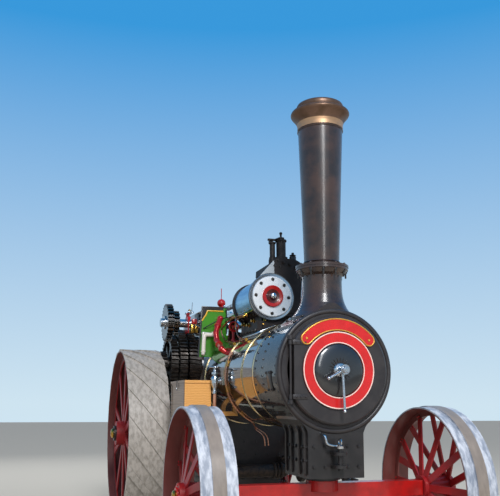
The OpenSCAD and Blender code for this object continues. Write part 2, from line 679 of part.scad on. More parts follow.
// Wheels
module spokes(n, y_hub, y_rim, r_hub, r_rim, w, t) {
    for (i = [0 : n - 1]) rotate([0, i * 360 / n + (y_hub > 0 ? 0 : 180 / n), 0]) {
        d = [y_rim - y_hub, r_rim - r_hub];
        translate([0, y_hub, r_hub]) rotate([-atan2(d[0], d[1]), 0, 0])
            translate([-w / 2, -t / 2, 0]) cube([w, t, norm(d)]);
    }
}
module rear_wheel() {
    half = rear_wheel_w / 2;
    rim = rear_wheel_r - strake_h;
    color("#7b7c7c") {
        side_plate(-half, half) difference() { circle(rim); circle(rim - rim_t); }
        for (y = [-half + 70, half - 84]) side_plate(y, y + 14) difference() {
            circle(rim - rim_t + 4);
            circle(rim - rim_t - 70);
        }
        intersection() {
            side_plate(-half, half) difference() { circle(rear_wheel_r); circle(rim - 6); }
            union() for (i = [0 : strakes - 1]) rotate([0, i * 360 / strakes, 0])
                rotate([0, 0, 52]) translate([-32, -half * 1.8, rim - 120]) cube([64, half * 3.6, 200]);
        }
    }
    color("#7a2a26") {
        spokes(10, 130, half - 77, 100, rim - 80, 62, 14);
        spokes(10, -130, -half + 77, 100, rim - 80, 62, 14);
    }
    color("#8c2320") difference() {
        along_y(-half - 0, half + 14, 128);
        along_y(-half - 20, half + 40, rear_axle_r + journal);
    }
}
module rear_wheel_left() translate([rear_x, rear_wheel_in + rear_wheel_w / 2, rear_wheel_r]) rear_wheel();
module rear_wheel_right() mirror([0, 1, 0]) rear_wheel_left();

band_mid_w = 88;
band_mid_h = 11;
module front_wheel() {
    half = front_wheel_w / 2;
    rim = front_wheel_r - band_mid_h;
    color("#b9babb") {
        side_plate(-half, half) difference() { circle(rim); circle(rim - rim_t); }
        side_plate(-band_mid_w / 2, band_mid_w / 2) difference() { circle(front_wheel_r); circle(rim - 4); }
        side_plate(-8, 8) difference() { circle(rim - rim_t + 4); circle(rim - rim_t - 48); }
    }
    color("#a3262a") {
        spokes(10, 96, 4, 62, rim - 62, 52, 12);
        spokes(10, -96, -4, 62, rim - 62, 52, 12);
        difference() {
            along_y(-half - 6, half + 14, 84);
            along_y(-half - 20, half + 30, front_journal_r + journal);
        }
    }
}
front_mid_y = front_wheel_out - front_wheel_w / 2;
module front_wheel_left() translate([front_x, front_mid_y, front_wheel_r]) front_wheel();
module front_wheel_right() mirror([0, 1, 0]) front_wheel_left();

// Front axle, perch bracket, chains and their barrel
axle_top = front_wheel_r + axle_half_h;
kingpin_r = 28;
perch_z = axle_top + 26;
eye_back = 92;
eye_pin_r = 10.5;
module front_axle() color("#3b2524") difference() {
    union() {
        translate([front_x, 0, front_wheel_r]) {
            box([-50, 50], [-front_mid_y + front_wheel_w / 2 + 12, front_mid_y - front_wheel_w / 2 - 12],
                [-axle_half_h, axle_half_h]);
            along_z(0, axle_half_h + 20, 118);
            both_sides() {
                along_y(front_mid_y - front_wheel_w / 2 - 14, front_wheel_out + 34, front_journal_r);
                along_y(front_wheel_out + 17, front_wheel_out + 30, front_journal_r + 18);
                for (z = [-1, 1]) translate([0, chain_y, z * (link_t / 2 + 9.5)])
                    box([-eye_back - 16, -48], [-17, 17], [-6, 6]);
                translate([-eye_back, chain_y, 0]) along_z(-link_t / 2 - 20, link_t / 2 + 20, eye_pin_r);
            }
        }
    }
    translate([front_x, 0, 0]) along_z(0, axle_top + 60, kingpin_r + journal);
}
// The perch bracket is a hollow casting from the turntable up to the smokebox.
perch_x = [front_x - 190, front_x + 256];
perch_half_w = 212;
perch_wall = 16;
perch_floor_z = perch_z + 28;
perch_flare = [[perch_half_w, 1030], [perch_half_w + 10, 1062], [perch_half_w + 32, 1092],
    [perch_half_w + 70, 1124], [perch_half_w + 70, 1200]];
function mirrored(pts) = concat(pts, [for (i = [len(pts) - 1 : -1 : 0]) [-pts[i][0], pts[i][1]]]);
module perch_outline() polygon(mirrored(concat([[perch_half_w, perch_floor_z]], perch_flare)));
module perch_bracket() color("#2d2828") difference() {
    union() {
        difference() {
            cross_plate(perch_x[0], perch_x[1]) perch_outline();
            box(perch_x + [perch_wall, -perch_wall], [perch_wall - perch_half_w, perch_half_w - perch_wall],
                [perch_floor_z + perch_wall, boiler_z]);
        }
        translate([front_x, 0, 0]) {
            along_z(perch_z, perch_floor_z + 4, 130);
            along_z(front_wheel_r - axle_half_h - 46, perch_z, kingpin_r);
            along_z(front_wheel_r - axle_half_h - 46, front_wheel_r - axle_half_h - 12, kingpin_r + 16);
        }
        translate([perch_x[1], 0, 0]) for (z = [-1, 1]) side_towing_lug(towing_z + z * 44);
        translate([perch_x[1] + towing_ahead, 0, 0]) along_z(towing_z - 70, towing_z + 78, 16);
    }
    translate([0, 0, boiler_z]) along_x(barrel_x - 100, ring_x + 200, smokebox_r + seat);
    translate([0, 0, boiler_z]) along_x(ring_x - ring_t - seat, ring_x + 200, ring_r + seat);
}
towing_z = 850;
towing_ahead = 62;
module side_towing_lug(z) {
    box([-2, towing_ahead], [-46, 46], [z - 11, z + 11]);
    translate([towing_ahead, 0, 0]) along_z(z - 11, z + 11, 46);
}
chain_lift = barrel_r + 66;
// The eye pin fills the first link's width and leaves it room to swing.
module chain_link() linear_extrude(link_t, center = true) difference() {
    square([link_l - 24, 50], center = true);
    square([link_l - 52, 2 * eye_pin_r + 1], center = true);
}
// The left chain leaves the barrel's top and the right chain its bottom.
module chain(side) color("#4a4545") {
    p = [front_x - eye_back, side * chain_y, front_wheel_r];
    q = [throat_x + barrel_ahead, side * 290, barrel_z + side * chain_lift];
    d = q - p;
    step = link_l - 48;
    translate(p) rotate([0, acos(d.z / norm(d)) - 90, atan2(d.y, d.x)])
        for (i = [0 : floor((norm(d) - 30) / step)])
            translate([20 + i * step, 0, 0]) rotate([i % 2 * 90, 0, 0]) chain_link();
}
module chain_left() chain(1);
module chain_right() chain(-1);
worm_gear_y = [horn_out + 20, horn_out + 56];
worm_gear_r = 112;
module steer_barrel() color("#4d4848") translate([throat_x + barrel_ahead, 0, barrel_z]) {
    along_y(-330, 330, barrel_r);
    along_y(-372, worm_gear_y[1] + 12, 26);
    for (s = [-1, 1]) for (i = [0 : 2]) translate([0, s * (215 + 34 * i), 0]) rotate([90, 0, 0])
        rotate_extrude() translate([barrel_r + 4, 0]) circle(13);
    along_y(worm_gear_y[0] - 12, worm_gear_y[1] + 8, 44);
    along_y(worm_gear_y[0], worm_gear_y[1], worm_gear_r);
}
module barrel_brackets() color("#2a2320") translate([0, 0, barrel_z]) both_sides() difference() {
    side_plate(338, 358) {
        polygon([[throat_x, -38], [throat_x, 120], [throat_x + 60, 120],
            [throat_x + barrel_ahead, 62], [throat_x + barrel_ahead, -44]]);
        translate([throat_x + barrel_ahead, 9]) circle(53);
    }
    translate([throat_x + barrel_ahead, 0, 0]) along_y(330, 366, 26 + journal);
}
column_slope = 29;
column_l = 2050;
column_y = horn_out + 38;
worm_gap = worm_gear_r + 32;
worm_at = [throat_x + barrel_ahead + worm_gap * sin(column_slope), column_y,
    barrel_z + worm_gap * cos(column_slope)];
wheel_hub = worm_at + column_l * [-cos(column_slope), 0, sin(column_slope)];
module steering_gear() color("#4a2320") {
    d = worm_at - wheel_hub;
    bar(wheel_hub, worm_at + d * 0.05, 17);
    bar(worm_at - d * 0.03, worm_at + d * 0.03, 28);
    translate(wheel_hub) rotate([0, acos(d.z / norm(d)), atan2(d.y, d.x)]) {
        rotate_extrude() translate([steering_wheel_r, 0]) circle(13);
        for (i = [0 : 3]) rotate(i * 90) rotate([0, 90, 0]) cylinder(h = steering_wheel_r, r = 10);
        translate([0, 0, -20]) cylinder(h = 50, r = 34);
    }
    for (t = [0.42, 0.7]) {
        p = wheel_hub + t * d;
        box([p.x - 22, p.x + 22], [horn_out, p.y + 6], [p.z - 26, p.z + 26]);
    }
    foot = worm_at + 0.042 * d;
    side_plate(horn_out, horn_out + 12) polygon([[throat_x - 80, 1000], [throat_x + 30, 985],
        [foot.x + 24, foot.z + 36], [foot.x + 24, foot.z - 24], [foot.x - 24, foot.z - 24],
        [throat_x + 10, 890], [throat_x - 80, 910]]);
    box([foot.x - 20, foot.x + 20], [horn_out + 10, column_y + 8], [foot.z - 20, foot.z + 24]);
}

// Hornplates, spectacle plate, tender and drawbar
function rel(pts) = [for (p = pts) [p[0] + rear_x, p[1]]];
bearing_seat_z = crank_z - 110;
module hornplate() side_plate(horn_y, horn_out) difference() {
    polygon([[tender_x, footplate_z - 240], [rear_x + 130, footplate_z - 240], [backhead_x + 60, 900],
        [throat_x, 960], [throat_x, boiler_z], [plate_x, boiler_z + 130], [plate_x, plate_top_z - 30],
        [crank_x + 190, plate_top_z - 30], [crank_x + 130, crank_z + 10], [crank_x - 130, crank_z + 10],
        [rear_x + 60, 1880], [rear_x - 40, 1420], [tender_x, 1250]]);
    translate([rear_x, rear_wheel_r]) circle(rear_axle_r + 25 + seat);
    translate([second_x, second_z]) circle(58 + seat);
    translate([crank_x - 88 - seat, bearing_seat_z]) square([176 + 2 * seat, 400]);
}
module hornplates() color("#2f6a2a") both_sides() hornplate();

notch_z = boiler_z + clad_r + 8;
module spectacle_plate() color("#4f9a2e") difference() {
    cross_plate(plate_x, plate_x + plate_t) difference() {
        polygon([[-plate_half_w - 30, boiler_z + 215], [plate_half_w + 30, boiler_z + 215],
            [plate_half_w, plate_top_z], [-plate_half_w, plate_top_z]]);
        translate([cyl_y - 82, notch_z]) square([164, 600]);
        translate([0, notch_z]) square([126, 600]);
    }
    translate([0, 0, boiler_z]) along_x(throat_x, ring_x, clad_r + seat);
}

module tender_side() polygon([[tender_x, footplate_z], [tender_x, footplate_z + 430],
    [tender_x - 160, footplate_z + 450], [tender_x - 360, footplate_z + 330],
    [tender_x - tender_l + bunker_l + 60, footplate_z + 330],
    [tender_x - tender_l + bunker_l, footplate_z + 480], [tender_x - tender_l + bunker_l, footplate_z]]);
module tender() color("#2f6a2a") {
    back = tender_x - tender_l;
    hw = tender_half_w;
    box([back, tender_x], [-hw, hw], [footplate_z - tank_h, footplate_z]);
    both_sides() side_plate(hw - tender_t, hw) tender_side();
    difference() {
        box([back, back + bunker_l], [-hw, hw], [footplate_z, footplate_z + bunker_h]);
        box([back + tender_t, back + bunker_l - tender_t], [-hw + tender_t, hw - tender_t],
            [footplate_z + 1, footplate_z + bunker_h + 1]);
        box([back + bunker_l - 2 * tender_t, back + bunker_l + 1], [-150, 150],
            [footplate_z + 60, footplate_z + 330]);
    }
}
drawbar_z = footplate_z - 150;
module drawbar() color("#3a3635") difference() {
    union() {
        box([tender_x - tender_l - 24, tender_x - tender_l], [-260, 260],
            [drawbar_z - 110, drawbar_z + 110]);
        for (z = [-52, 28]) {
            box([rear_x - drawbar_reach + 60, tender_x - tender_l - 24], [-60, 60],
                [drawbar_z + z, drawbar_z + z + 24]);
            translate([rear_x - drawbar_reach + 60, 0, 0]) along_z(drawbar_z + z, drawbar_z + z + 24, 60);
        }
    }
    translate([rear_x - drawbar_reach + 60, 0, 0]) along_z(drawbar_z - 200, drawbar_z + 200, drawbar_hole_r);
}

// Toolbox, valves, pipes and controls
toolbox_x = [throat_x + toolbox_ahead, throat_x + toolbox_ahead + toolbox_l];
toolbox_y = [-toolbox_out, toolbox_w - toolbox_out];
lid_t = 24;
toolbox_z = toolbox_top - lid_t - toolbox_h;
// The lid's hinge: its pin runs through two knuckles of the lid and one of the box.
lid_hinge = [toolbox_y[1] + 9, toolbox_top - lid_t];
knuckle_r = 8;
knuckle_x = [toolbox_x[0] + 60, toolbox_x[0] + 120, toolbox_x[1] - 120, toolbox_x[1] - 60];
module knuckle(x0, x1) translate([0, lid_hinge.x, lid_hinge.y]) along_x(x0, x1, knuckle_r);
module toolbox() color("#d99a45") {
    difference() {
        box(toolbox_x, toolbox_y, [toolbox_z, toolbox_top - lid_t]);
        box(toolbox_x + [board_t, -board_t], toolbox_y + [board_t, -board_t],
            [toolbox_z + board_t, toolbox_top]);
    }
    difference() {
        union() {
            knuckle(knuckle_x[1] + 1, knuckle_x[2] - 1);
            box([knuckle_x[1] + 1, knuckle_x[2] - 1], [toolbox_y[1] - 4, lid_hinge.x],
                [lid_hinge.y - knuckle_r, lid_hinge.y - 2]);
        }
        translate([0, lid_hinge.x, lid_hinge.y]) along_x(knuckle_x[0], knuckle_x[3], 4 + journal);
    }
    difference() {
        for (x = [toolbox_x[0] + 60, toolbox_x[1] - 100])
            box([x, x + 40], [toolbox_y[1], -clad_r * 0.5], [toolbox_z + 40, toolbox_z + 80]);
        translate([0, 0, boiler_z]) along_x(throat_x, barrel_x, clad_r + seat);
    }
}
module toolbox_lid() color("#e2a751") {
    box(toolbox_x + [-10, 10], toolbox_y + [-10, 0], [toolbox_top - lid_t, toolbox_top]);
    for (i = [0, 2]) {
        knuckle(knuckle_x[i], knuckle_x[i + 1]);
        box([knuckle_x[i], knuckle_x[i + 1]], [toolbox_y[1] - 2, lid_hinge.x],
            [lid_hinge.y + 2, lid_hinge.y + knuckle_r]);
    }
    translate([0, lid_hinge.x, lid_hinge.y]) along_x(knuckle_x[0], knuckle_x[3], 4);
}
valve_x = toolbox_x[1] + 60;
valve_y_out = -500;
valve_z = 1430;
valve_stub_r = 18;
valve_pad = 36;
bands_gap = 19;
module check_valve() color("#b98b43") translate([valve_x, 0, 0]) {
    difference() {
        translate([0, 0, valve_z]) {
            along_y(valve_y_out, -360, valve_stub_r);
            box([-valve_pad, bands_gap], [-clad_r - 14, -clad_r + 30], [-valve_pad, valve_pad]);
            along_y(valve_y_out + 40, valve_y_out + 50, valve_pad);
        }
        translate([0, 0, boiler_z]) along_x(-200, 200, clad_r + seat);
    }
    // The valve's body with its union below and its bonnet and handwheel above
    translate([0, valve_y_out, valve_z]) {
        rotate_extrude() polygon([[0, -110], [24, -110], [24, -92], [17, -86], [17, -64], [28, -44],
            [34, -20], [34, 20], [28, 38], [18, 44], [18, 54], [29, 58], [29, 76], [15, 84],
            [11, 108], [11, 130], [0, 130]]);
        translate([0, 0, 120]) {
            rotate_extrude() translate([44, 0]) circle(6);
            for (a = [0, 60, 120]) rotate(a) bar([-44, 0, 0], [44, 0, 0], 4);
        }
    }
    // The feed pump on the hornplate
    translate([pump_at.x - valve_x, 0, pump_at.y]) {
        box([-60, 60], [-horn_out - 16, -horn_out], [-110, 110]);
        translate([0, -horn_out - 48, 0]) {
            along_z(-90, 90, 36);
            along_z(90, 150, 20);
            along_z(-118, -90, 24);
        }
        translate([54, -horn_out - 48, 0]) along_z(-60, 60, 24);
    }
}
pump_at = [throat_x - 150, 1060];
module pipework() color("#b0713a") {
    pump_y = -horn_out - 52;
    pipe([[valve_x, valve_y_out, valve_z - 110], [valve_x, valve_y_out, 960], [pump_at.x + 60, pump_y, 930],
        [pump_at.x + 60, pump_y, pump_at.y - 60]], 14);
    // The white exhaust elbow beside the boiler and the bent pipe under the cylinder
    pipe([[plate_x + 50, -353, 1905], [plate_x + 50, -459, 1910], [plate_x + 50, -459, 1712],
        [plate_x + plate_t, -459, 1712]], 15);
    // The red pipe bends down from the spectacle plate and runs forward along the cladding.
    difference() {
        pipe([[plate_x + plate_t, -290, 2068], [plate_x + 84, -300, 2060], [plate_x + 128, -338, 1981],
            [plate_x + 150, -362, 1908], [plate_x + 172, -358, 1838], [plate_x + 230, -352, 1794],
            [plate_x + 420, -382, 1736], [plate_x + 440, -330, 1690]], 26);
        translate([0, 0, boiler_z]) along_x(throat_x, ring_x, clad_r + seat);
        box([0, plate_x + plate_t], [-500, 0], [boiler_z, crank_z + 100]);
    }
}
// The governor stands behind the spectacle plate, on a bracket that the plate carries.
governor_at = [plate_x - 100, cyl_y - 107];
governor_dome_z = crank_z + 150;
module governor() color("#a4302b") translate([governor_at.x, governor_at.y, 0]) {
    along_z(crank_z - 90, governor_dome_z - 10, 16);
    box([-24, plate_x - governor_at.x], [-24, 24], [crank_z - 104, crank_z - 90]);
    box([24, plate_x - governor_at.x], [-6, 6], [crank_z - 150, crank_z - 104]);
    along_z(crank_z + 10, crank_z + 24, 48);
    along_z(crank_z + 92, crank_z + 110, 28);
    translate([0, 0, governor_dome_z]) sphere(42);
    along_z(governor_dome_z, governor_dome_z + 150, 4);
    for (s = [-1, 1]) {
        bar([s * 12, 0, governor_dome_z - 10], [s * 60, 0, crank_z + 80], 6);
        translate([s * 60, 0, crank_z + 68]) sphere(20);
    }
}
// Fittings on the backhead and the reversing lever with its rack and rod.
lever_foot = [backhead_x - 150, -horn_y + 34, 1500];
lever_top = lever_foot + [-110, 0, 520];
rack_r = 300;
glass_z = [1330, 1540];
module controls() color("#b98b43") {
    translate([backhead_x, 0, 1582]) {
        along_x(-40, 0, 20);
        box([-56, -40], [-130, 130], [-12, 12]);
        translate([-48, 130, 0]) sphere(20);
    }
    for (y = [210, 262]) translate([backhead_x, y, 0]) {
        for (z = glass_z) {
            along_x_at(-46, 0, 13, z);
            translate([-46, 0, z]) sphere(18);
        }
        translate([-46, 0, 0]) along_z(glass_z[0], glass_z[1], 8);
    }
    translate([backhead_x, -240, 1470]) {
        along_x(-24, 0, 16);
        along_x(-58, -24, 72);
        along_x(-62, -58, 78);
    }
    translate([lever_foot.x, lever_foot.y, lever_foot.z]) {
        along_y(-34, 24, 22);
        side_plate(-12, -2) intersection() {
            difference() { circle(rack_r + 22); circle(rack_r - 22); }
            polygon([[0, 0], 600 * [-sin(38), cos(38)], [0, 900], 600 * [sin(20), cos(20)]]);
        }
        for (a = [-30, 2]) bar([0, -7, 0], (rack_r - 10) * [sin(a), 0, cos(a)] + [0, -7, 0], 9);
    }
    bar(lever_foot + [0, 12, 0], lever_top + [0, 12, 0], 13);
    translate(lever_top + [0, 12, 0]) sphere(22);
    rod_at = lever_foot + 0.8 * (lever_top - lever_foot);
    bar(rod_at + [0, 30, 0], [plate_x - 60, rod_at.y + 30, rod_at.z], 10);
    bar(rod_at + [0, 6, 0], rod_at + [0, 36, 0], 14);
}
module firehole_door() color("#332c2a") translate([backhead_x, 0, firehole_z]) {
    along_x(-18, -seat, firehole_r + 24);
    box([-20, -4], [firehole_hinge_y, 0], [-40, 40]);
    translate([-firehole_hinge_back, firehole_hinge_y, 0]) {
        along_z(-60, 60, 12);
        along_z(-82, 82, 6);
    }
}

smokebox();
smokebox_ring();
chimney_base();
chimney();
chimney_cap();
boiler();
boiler_bands();
firebox();
hornplates();
spectacle_plate();
cylinder_block();
cylinder_lagging();
cylinder_cover();
safety_valves();
slide_bars();
crosshead();
valve_gear();
crank_bearings();
second_shaft();
rear_axle();
perch_bracket();
tender();
drawbar();
steering_gear();
barrel_brackets();
toolbox();
check_valve();
pipework();
governor();
controls();
smokebox_door();
door_plates();
door_handles();
firehole_door();
toolbox_lid();
crankshaft();
flywheel();
connecting_rod();
eccentric_rod_fore();
eccentric_rod_back();
rear_wheel_left();
rear_wheel_right();
front_wheel_left();
front_wheel_right();
front_axle();
chain_left();
chain_right();
steer_barrel();
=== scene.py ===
"""A steam traction engine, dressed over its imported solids."""

from math import cos, pi, radians, sin, sqrt

import bpy
from bpy.props import FloatProperty, FloatVectorProperty, IntProperty
from mathutils import Matrix, Vector


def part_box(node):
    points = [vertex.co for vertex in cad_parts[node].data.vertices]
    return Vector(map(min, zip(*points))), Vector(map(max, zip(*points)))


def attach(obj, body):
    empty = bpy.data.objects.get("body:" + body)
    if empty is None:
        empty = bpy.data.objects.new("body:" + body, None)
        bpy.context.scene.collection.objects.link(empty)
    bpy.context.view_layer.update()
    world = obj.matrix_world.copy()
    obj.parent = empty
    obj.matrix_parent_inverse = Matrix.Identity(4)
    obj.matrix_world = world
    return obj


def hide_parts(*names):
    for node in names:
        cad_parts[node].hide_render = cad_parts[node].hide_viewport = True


bl_info = {
    "name": "Steam traction engine",
    "version": (1, 0, 0),
    "blender": (4, 5, 0),
    "location": "3D View > Sidebar > Engine",
    "description": "Paint, polish, rivets and fittings of a steam traction engine",
    "category": "Object",
}

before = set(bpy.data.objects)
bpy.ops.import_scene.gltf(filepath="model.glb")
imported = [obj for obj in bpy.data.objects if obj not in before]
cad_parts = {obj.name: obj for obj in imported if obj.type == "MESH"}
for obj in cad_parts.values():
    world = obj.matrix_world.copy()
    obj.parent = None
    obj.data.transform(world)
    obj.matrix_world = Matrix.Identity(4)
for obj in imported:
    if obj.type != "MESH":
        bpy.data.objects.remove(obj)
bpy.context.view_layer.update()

# Places read from the solids, in metres
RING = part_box("smokebox_ring")
# The plane that the door's fittings are measured from, 40 mm behind its plates
RING_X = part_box("door_plates")[0].x - 0.04
BOILER_Z = (RING[0].z + RING[1].z) / 2
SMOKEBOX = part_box("smokebox")
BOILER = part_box("boiler")
CLAD_R = (BOILER[1].z - BOILER[0].z) / 2
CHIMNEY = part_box("chimney")
CHIMNEY_X = (CHIMNEY[0].x + CHIMNEY[1].x) / 2
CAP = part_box("chimney_cap")
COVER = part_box("cylinder_cover")
AXIS_Y, AXIS_Z = (COVER[0].y + COVER[1].y) / 2, (COVER[0].z + COVER[1].z) / 2
FRONT_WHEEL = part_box("front_wheel_left")
FRONT_X, FRONT_R = (FRONT_WHEEL[0].x + FRONT_WHEEL[1].x) / 2, FRONT_WHEEL[1].z / 2
# The middle of the left front tread, from which the hub reaches 8 mm further out than in
FRONT_MID = (FRONT_WHEEL[0].y + FRONT_WHEEL[1].y - 0.008) / 2
REAR_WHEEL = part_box("rear_wheel_left")
REAR_X, REAR_R = (REAR_WHEEL[0].x + REAR_WHEEL[1].x) / 2, REAR_WHEEL[1].z / 2
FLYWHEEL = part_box("flywheel")
CRANK_X, CRANK_Z = (FLYWHEEL[0].x + FLYWHEEL[1].x) / 2, (FLYWHEEL[0].z + FLYWHEEL[1].z) / 2
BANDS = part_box("boiler_bands")
# The last band's place as a share of the barrel's length, and the widest band's width
LAST_BAND, BAND_W = 0.968, 0.052
BARREL_L = (BANDS[1].x - BANDS[0].x - BAND_W / 2) / LAST_BAND
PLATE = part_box("spectacle_plate")
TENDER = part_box("tender")
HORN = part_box("hornplates")
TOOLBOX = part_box("toolbox")
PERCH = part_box("perch_bracket")

# Beyond every part of the engine, in metres
FAR = 9
BORE_TILT = radians(1.4)
AXES = {"X": Vector((1, 0, 0)), "Y": Vector((0, 1, 0)), "Z": Vector((0, 0, 1))}
FORE, REAR, RIGHT, UP = (1, 0, 0), (-1, 0, 0), (0, -1, 0), (0, 0, 1)


def linear(code):
    """An sRGB hex value as the linear numbers that the shader takes."""
    parts = [int(code[i : i + 2], 16) / 255 for i in (1, 3, 5)]
    return tuple(c / 12.92 if c <= 0.04045 else ((c + 0.055) / 1.055) ** 2.4 for c in parts)


def paint(name, code, note):
    """A colour for the panel."""
    return FloatVectorProperty(
        name=name, description=note, subtype="COLOR", min=0, max=1, default=linear(code)
    )


class EnginePaints(bpy.types.PropertyGroup):
    """Colours of the engine's paints and metals."""

    smokebox: paint("Smokebox", "#292526", "Heat-proof black of the smokebox and its door")
    chimney: paint("Chimney", "#3d2a20", "Brownish black gloss of the chimney")
    cladding: paint("Cladding", "#1d130f", "Dark brown gloss of the boiler cladding")
    iron_black: paint("Iron black", "#1d1a1a", "Black of the ironwork")
    plate_green: paint("Plate green", "#438f22", "Green of the spectacle plate and tender")
    signal_red: paint("Red", "#b01412", "Red of the motion's fittings and wheels")
    wheel_red: paint("Wheel red", "#9c1f22", "Red of the wheel spokes")
    # Painted shade: the wheels' red darkened inside the rims, where the treads shade it
    rim_shade_red: paint("Maroon", "#6d3733", "Maroon inside the wheel rims")
    enamel: paint("Enamel red", "#c81d1c", "Red enamel of the door's plates")
    rim_enamel: paint("Rim enamel", "#eccfc6", "Pinkish white of the round plates' edges")
    gilt: paint("Gilt", "#d6a848", "Gilt of the arched plate's border")
    lining: paint("Lining", "#e2b21c", "Yellow lining")
    white: paint("White", "#e4e0d8", "White paint")
    steel: paint("Bright steel", "#c9cccf", "Polished steel")
    brass: paint("Brass", "#c79a45", "Polished brass")
    copper: paint("Copper", "#d29a7c", "Bright copper")
    cap: paint("Cap", "#6f5444", "Tarnished copper of the chimney cap")
    tread: paint("Tread", "#bfb8b1", "Worn iron of the treads")
    dust: paint("Dust", "#887e76", "Dusty grey-brown of the treads' hollows")
    gear: paint("Gear iron", "#55504c", "Oiled iron of the gears")
    chain: paint("Chain", "#2f2a28", "Dark forged iron")
    wood: paint("Wood", "#edb163", "Varnished wood of the toolbox")
    dark_grain: paint("Dark grain", "#d89546", "The wood's late growth")


class EngineSizes(bpy.types.PropertyGroup):
    """Sizes of the engine's small fittings, in metres."""

    rivet_r: FloatProperty(name="Rivet", description="Radius of a rivet head", default=0.0095,
                           unit="LENGTH")
    rivet_gap: FloatProperty(name="Rivet pitch", description="Distance between rivets",
                             default=0.062, unit="LENGTH")
    line_w: FloatProperty(name="Lining", description="Width of the painted lining", default=0.007,
                          unit="LENGTH")
    pipe_r: FloatProperty(name="Pipe", description="Radius of a small copper pipe",
                          default=0.0075, unit="LENGTH")
    ribs: IntProperty(name="Ribs", description="Ribs around the door's dart", default=20)


# Materials

MADE = {}

# How much of the noise's range mixes the two colours and shifts the roughness
COLOUR_SPREAD, ROUGH_SPREAD = (0.4, 0.6), (0.3, 0.7)
# The same for the tone of painted patches, and the tones at its ends
TONE_SPREAD, TONES = (0.32, 0.68), (0.8, 1.05)

# The material slot for each finish, where a piece names no other
SLOTS = {
    "black": "black_paint", "chimney": "black_paint", "dish": "black_paint",
    "smokebox": "black_paint", "wrapper": "black_paint",
    "boss": "red_paint", "red": "red_paint", "rim_enamel": "red_paint",
    "brass": "band_brass", "gilt": "band_brass",
    "bright_face": "bright_steel", "steel": "bright_steel",
    "chest": "brown_paint", "cladding": "brown_paint",
    "green": "green_paint", "lining": "green_paint",
    "gear": "gear_iron", "copper": "copper_pipe", "wood": "box_wood",
}

# The solids that each finish covers
WEARS = {
    "smokebox": ["smokebox_ring", "smokebox_door"],
    "wrapper": ["smokebox"],
    "chimney": ["chimney_base", "chimney"],
    "cap": ["chimney_cap"],
    "cladding": ["boiler", "hornplates"],
    "chest": ["cylinder_block"],
    "brass": ["controls"],
    "bands": ["boiler_bands"],
    "pipework": ["pipework"],
    "black": ["firebox", "perch_bracket", "drawbar", "barrel_brackets", "firehole_door"],
    "iron": ["safety_valves"],
    "green": ["spectacle_plate", "tender"],
    "red": ["crank_bearings", "steering_gear", "governor", "front_axle"],
    "enamel": ["door_plates"],
    "lagging": ["cylinder_lagging"],
    "steel": ["cylinder_cover", "crosshead", "door_handles", "connecting_rod",
              "eccentric_rod_fore", "eccentric_rod_back", "check_valve"],
    "motion": ["slide_bars", "valve_gear", "crankshaft"],
    "gear": ["second_shaft", "rear_axle"],
    "chain": ["chain_left", "chain_right", "steer_barrel"],
    "wood": ["toolbox", "toolbox_lid"],
    "rear_wheel": ["rear_wheel_left", "rear_wheel_right"],
    "front_wheel": ["front_wheel_left", "front_wheel_right"],
    "flywheel": ["flywheel"],
}


def shade(code):
    """A colour's linear numbers, from its name in the panel or from a hex value."""
    if code.startswith("#"):
        return linear(code)
    return tuple(getattr(bpy.context.scene.engine_paints, code))


def add_node(tree, kind, settings=None, links=None):
    """Adds a shader node, sets its properties and sockets, and links its inputs."""
    made = tree.nodes.new(kind)
    for key, value in (settings or {}).items():
        if hasattr(made, key) and key not in made.inputs:
            setattr(made, key, value)
        else:
            made.inputs[key].default_value = value
    for key, source in (links or {}).items():
        tree.links.new(source, made.inputs[key])
    return made


def new_material(name, settings):
    """A material, its node tree and its shader, with these of the shader's inputs set."""
    made = bpy.data.materials.new(name)
    made.use_nodes = True
    shader = made.node_tree.nodes["Principled BSDF"]
    for key, value in settings.items():
        shader.inputs[key].default_value = value
    return made, made.node_tree, shader


def object_place(tree, scale=1.0, stretch=(1, 1, 1)):
    """Object coordinates in units of one over scale metres."""
    place = add_node(tree, "ShaderNodeTexCoord").outputs["Object"]
    scales = {"Scale": tuple(scale * s for s in stretch)}
    return add_node(tree, "ShaderNodeMapping", scales, {"Vector": place}).outputs["Vector"]


def object_parts(tree):
    """The three object coordinates, each as an output."""
    place = add_node(tree, "ShaderNodeTexCoord").outputs["Object"]
    return add_node(tree, "ShaderNodeSeparateXYZ", None, {0: place}).outputs


def ranged(tree, value, low, high, to_low=0.0, to_high=1.0):
    """Maps a value's range to another range."""
    limits = {"From Min": low, "From Max": high, "To Min": to_low, "To Max": to_high}
    return add_node(tree, "ShaderNodeMapRange", limits, {"Value": value}).outputs["Result"]


def multiplied(tree, first, second):
    """The product of two outputs."""
    links = {0: first, 1: second}
    return add_node(tree, "ShaderNodeMath", {"operation": "MULTIPLY"}, links).outputs[0]


def blend(tree, factor, first, second, kind="MIX"):
    """Mixes two colours, each of them three numbers or an output."""
    mixed = add_node(tree, "ShaderNodeMix", {"data_type": "RGBA", "blend_type": kind})
    for key, value in ((0, factor), (6, first), (7, second)):
        if isinstance(value, bpy.types.NodeSocket):
            tree.links.new(value, mixed.inputs[key])
        else:
            mixed.inputs[key].default_value = (*value, 1) if key else value
    return mixed.outputs[2]


def lifted(tree, shader, height, strength, depth, coated=False):
    """Bumps a shader's surface by a height output, to a depth in metres."""
    lift = add_node(tree, "ShaderNodeBump", {"Strength": strength, "Distance": depth},
                    {"Height": height})
    for key in ("Normal", "Coat Normal")[: 1 + coated]:
        tree.links.new(lift.outputs["Normal"], shader.inputs[key])


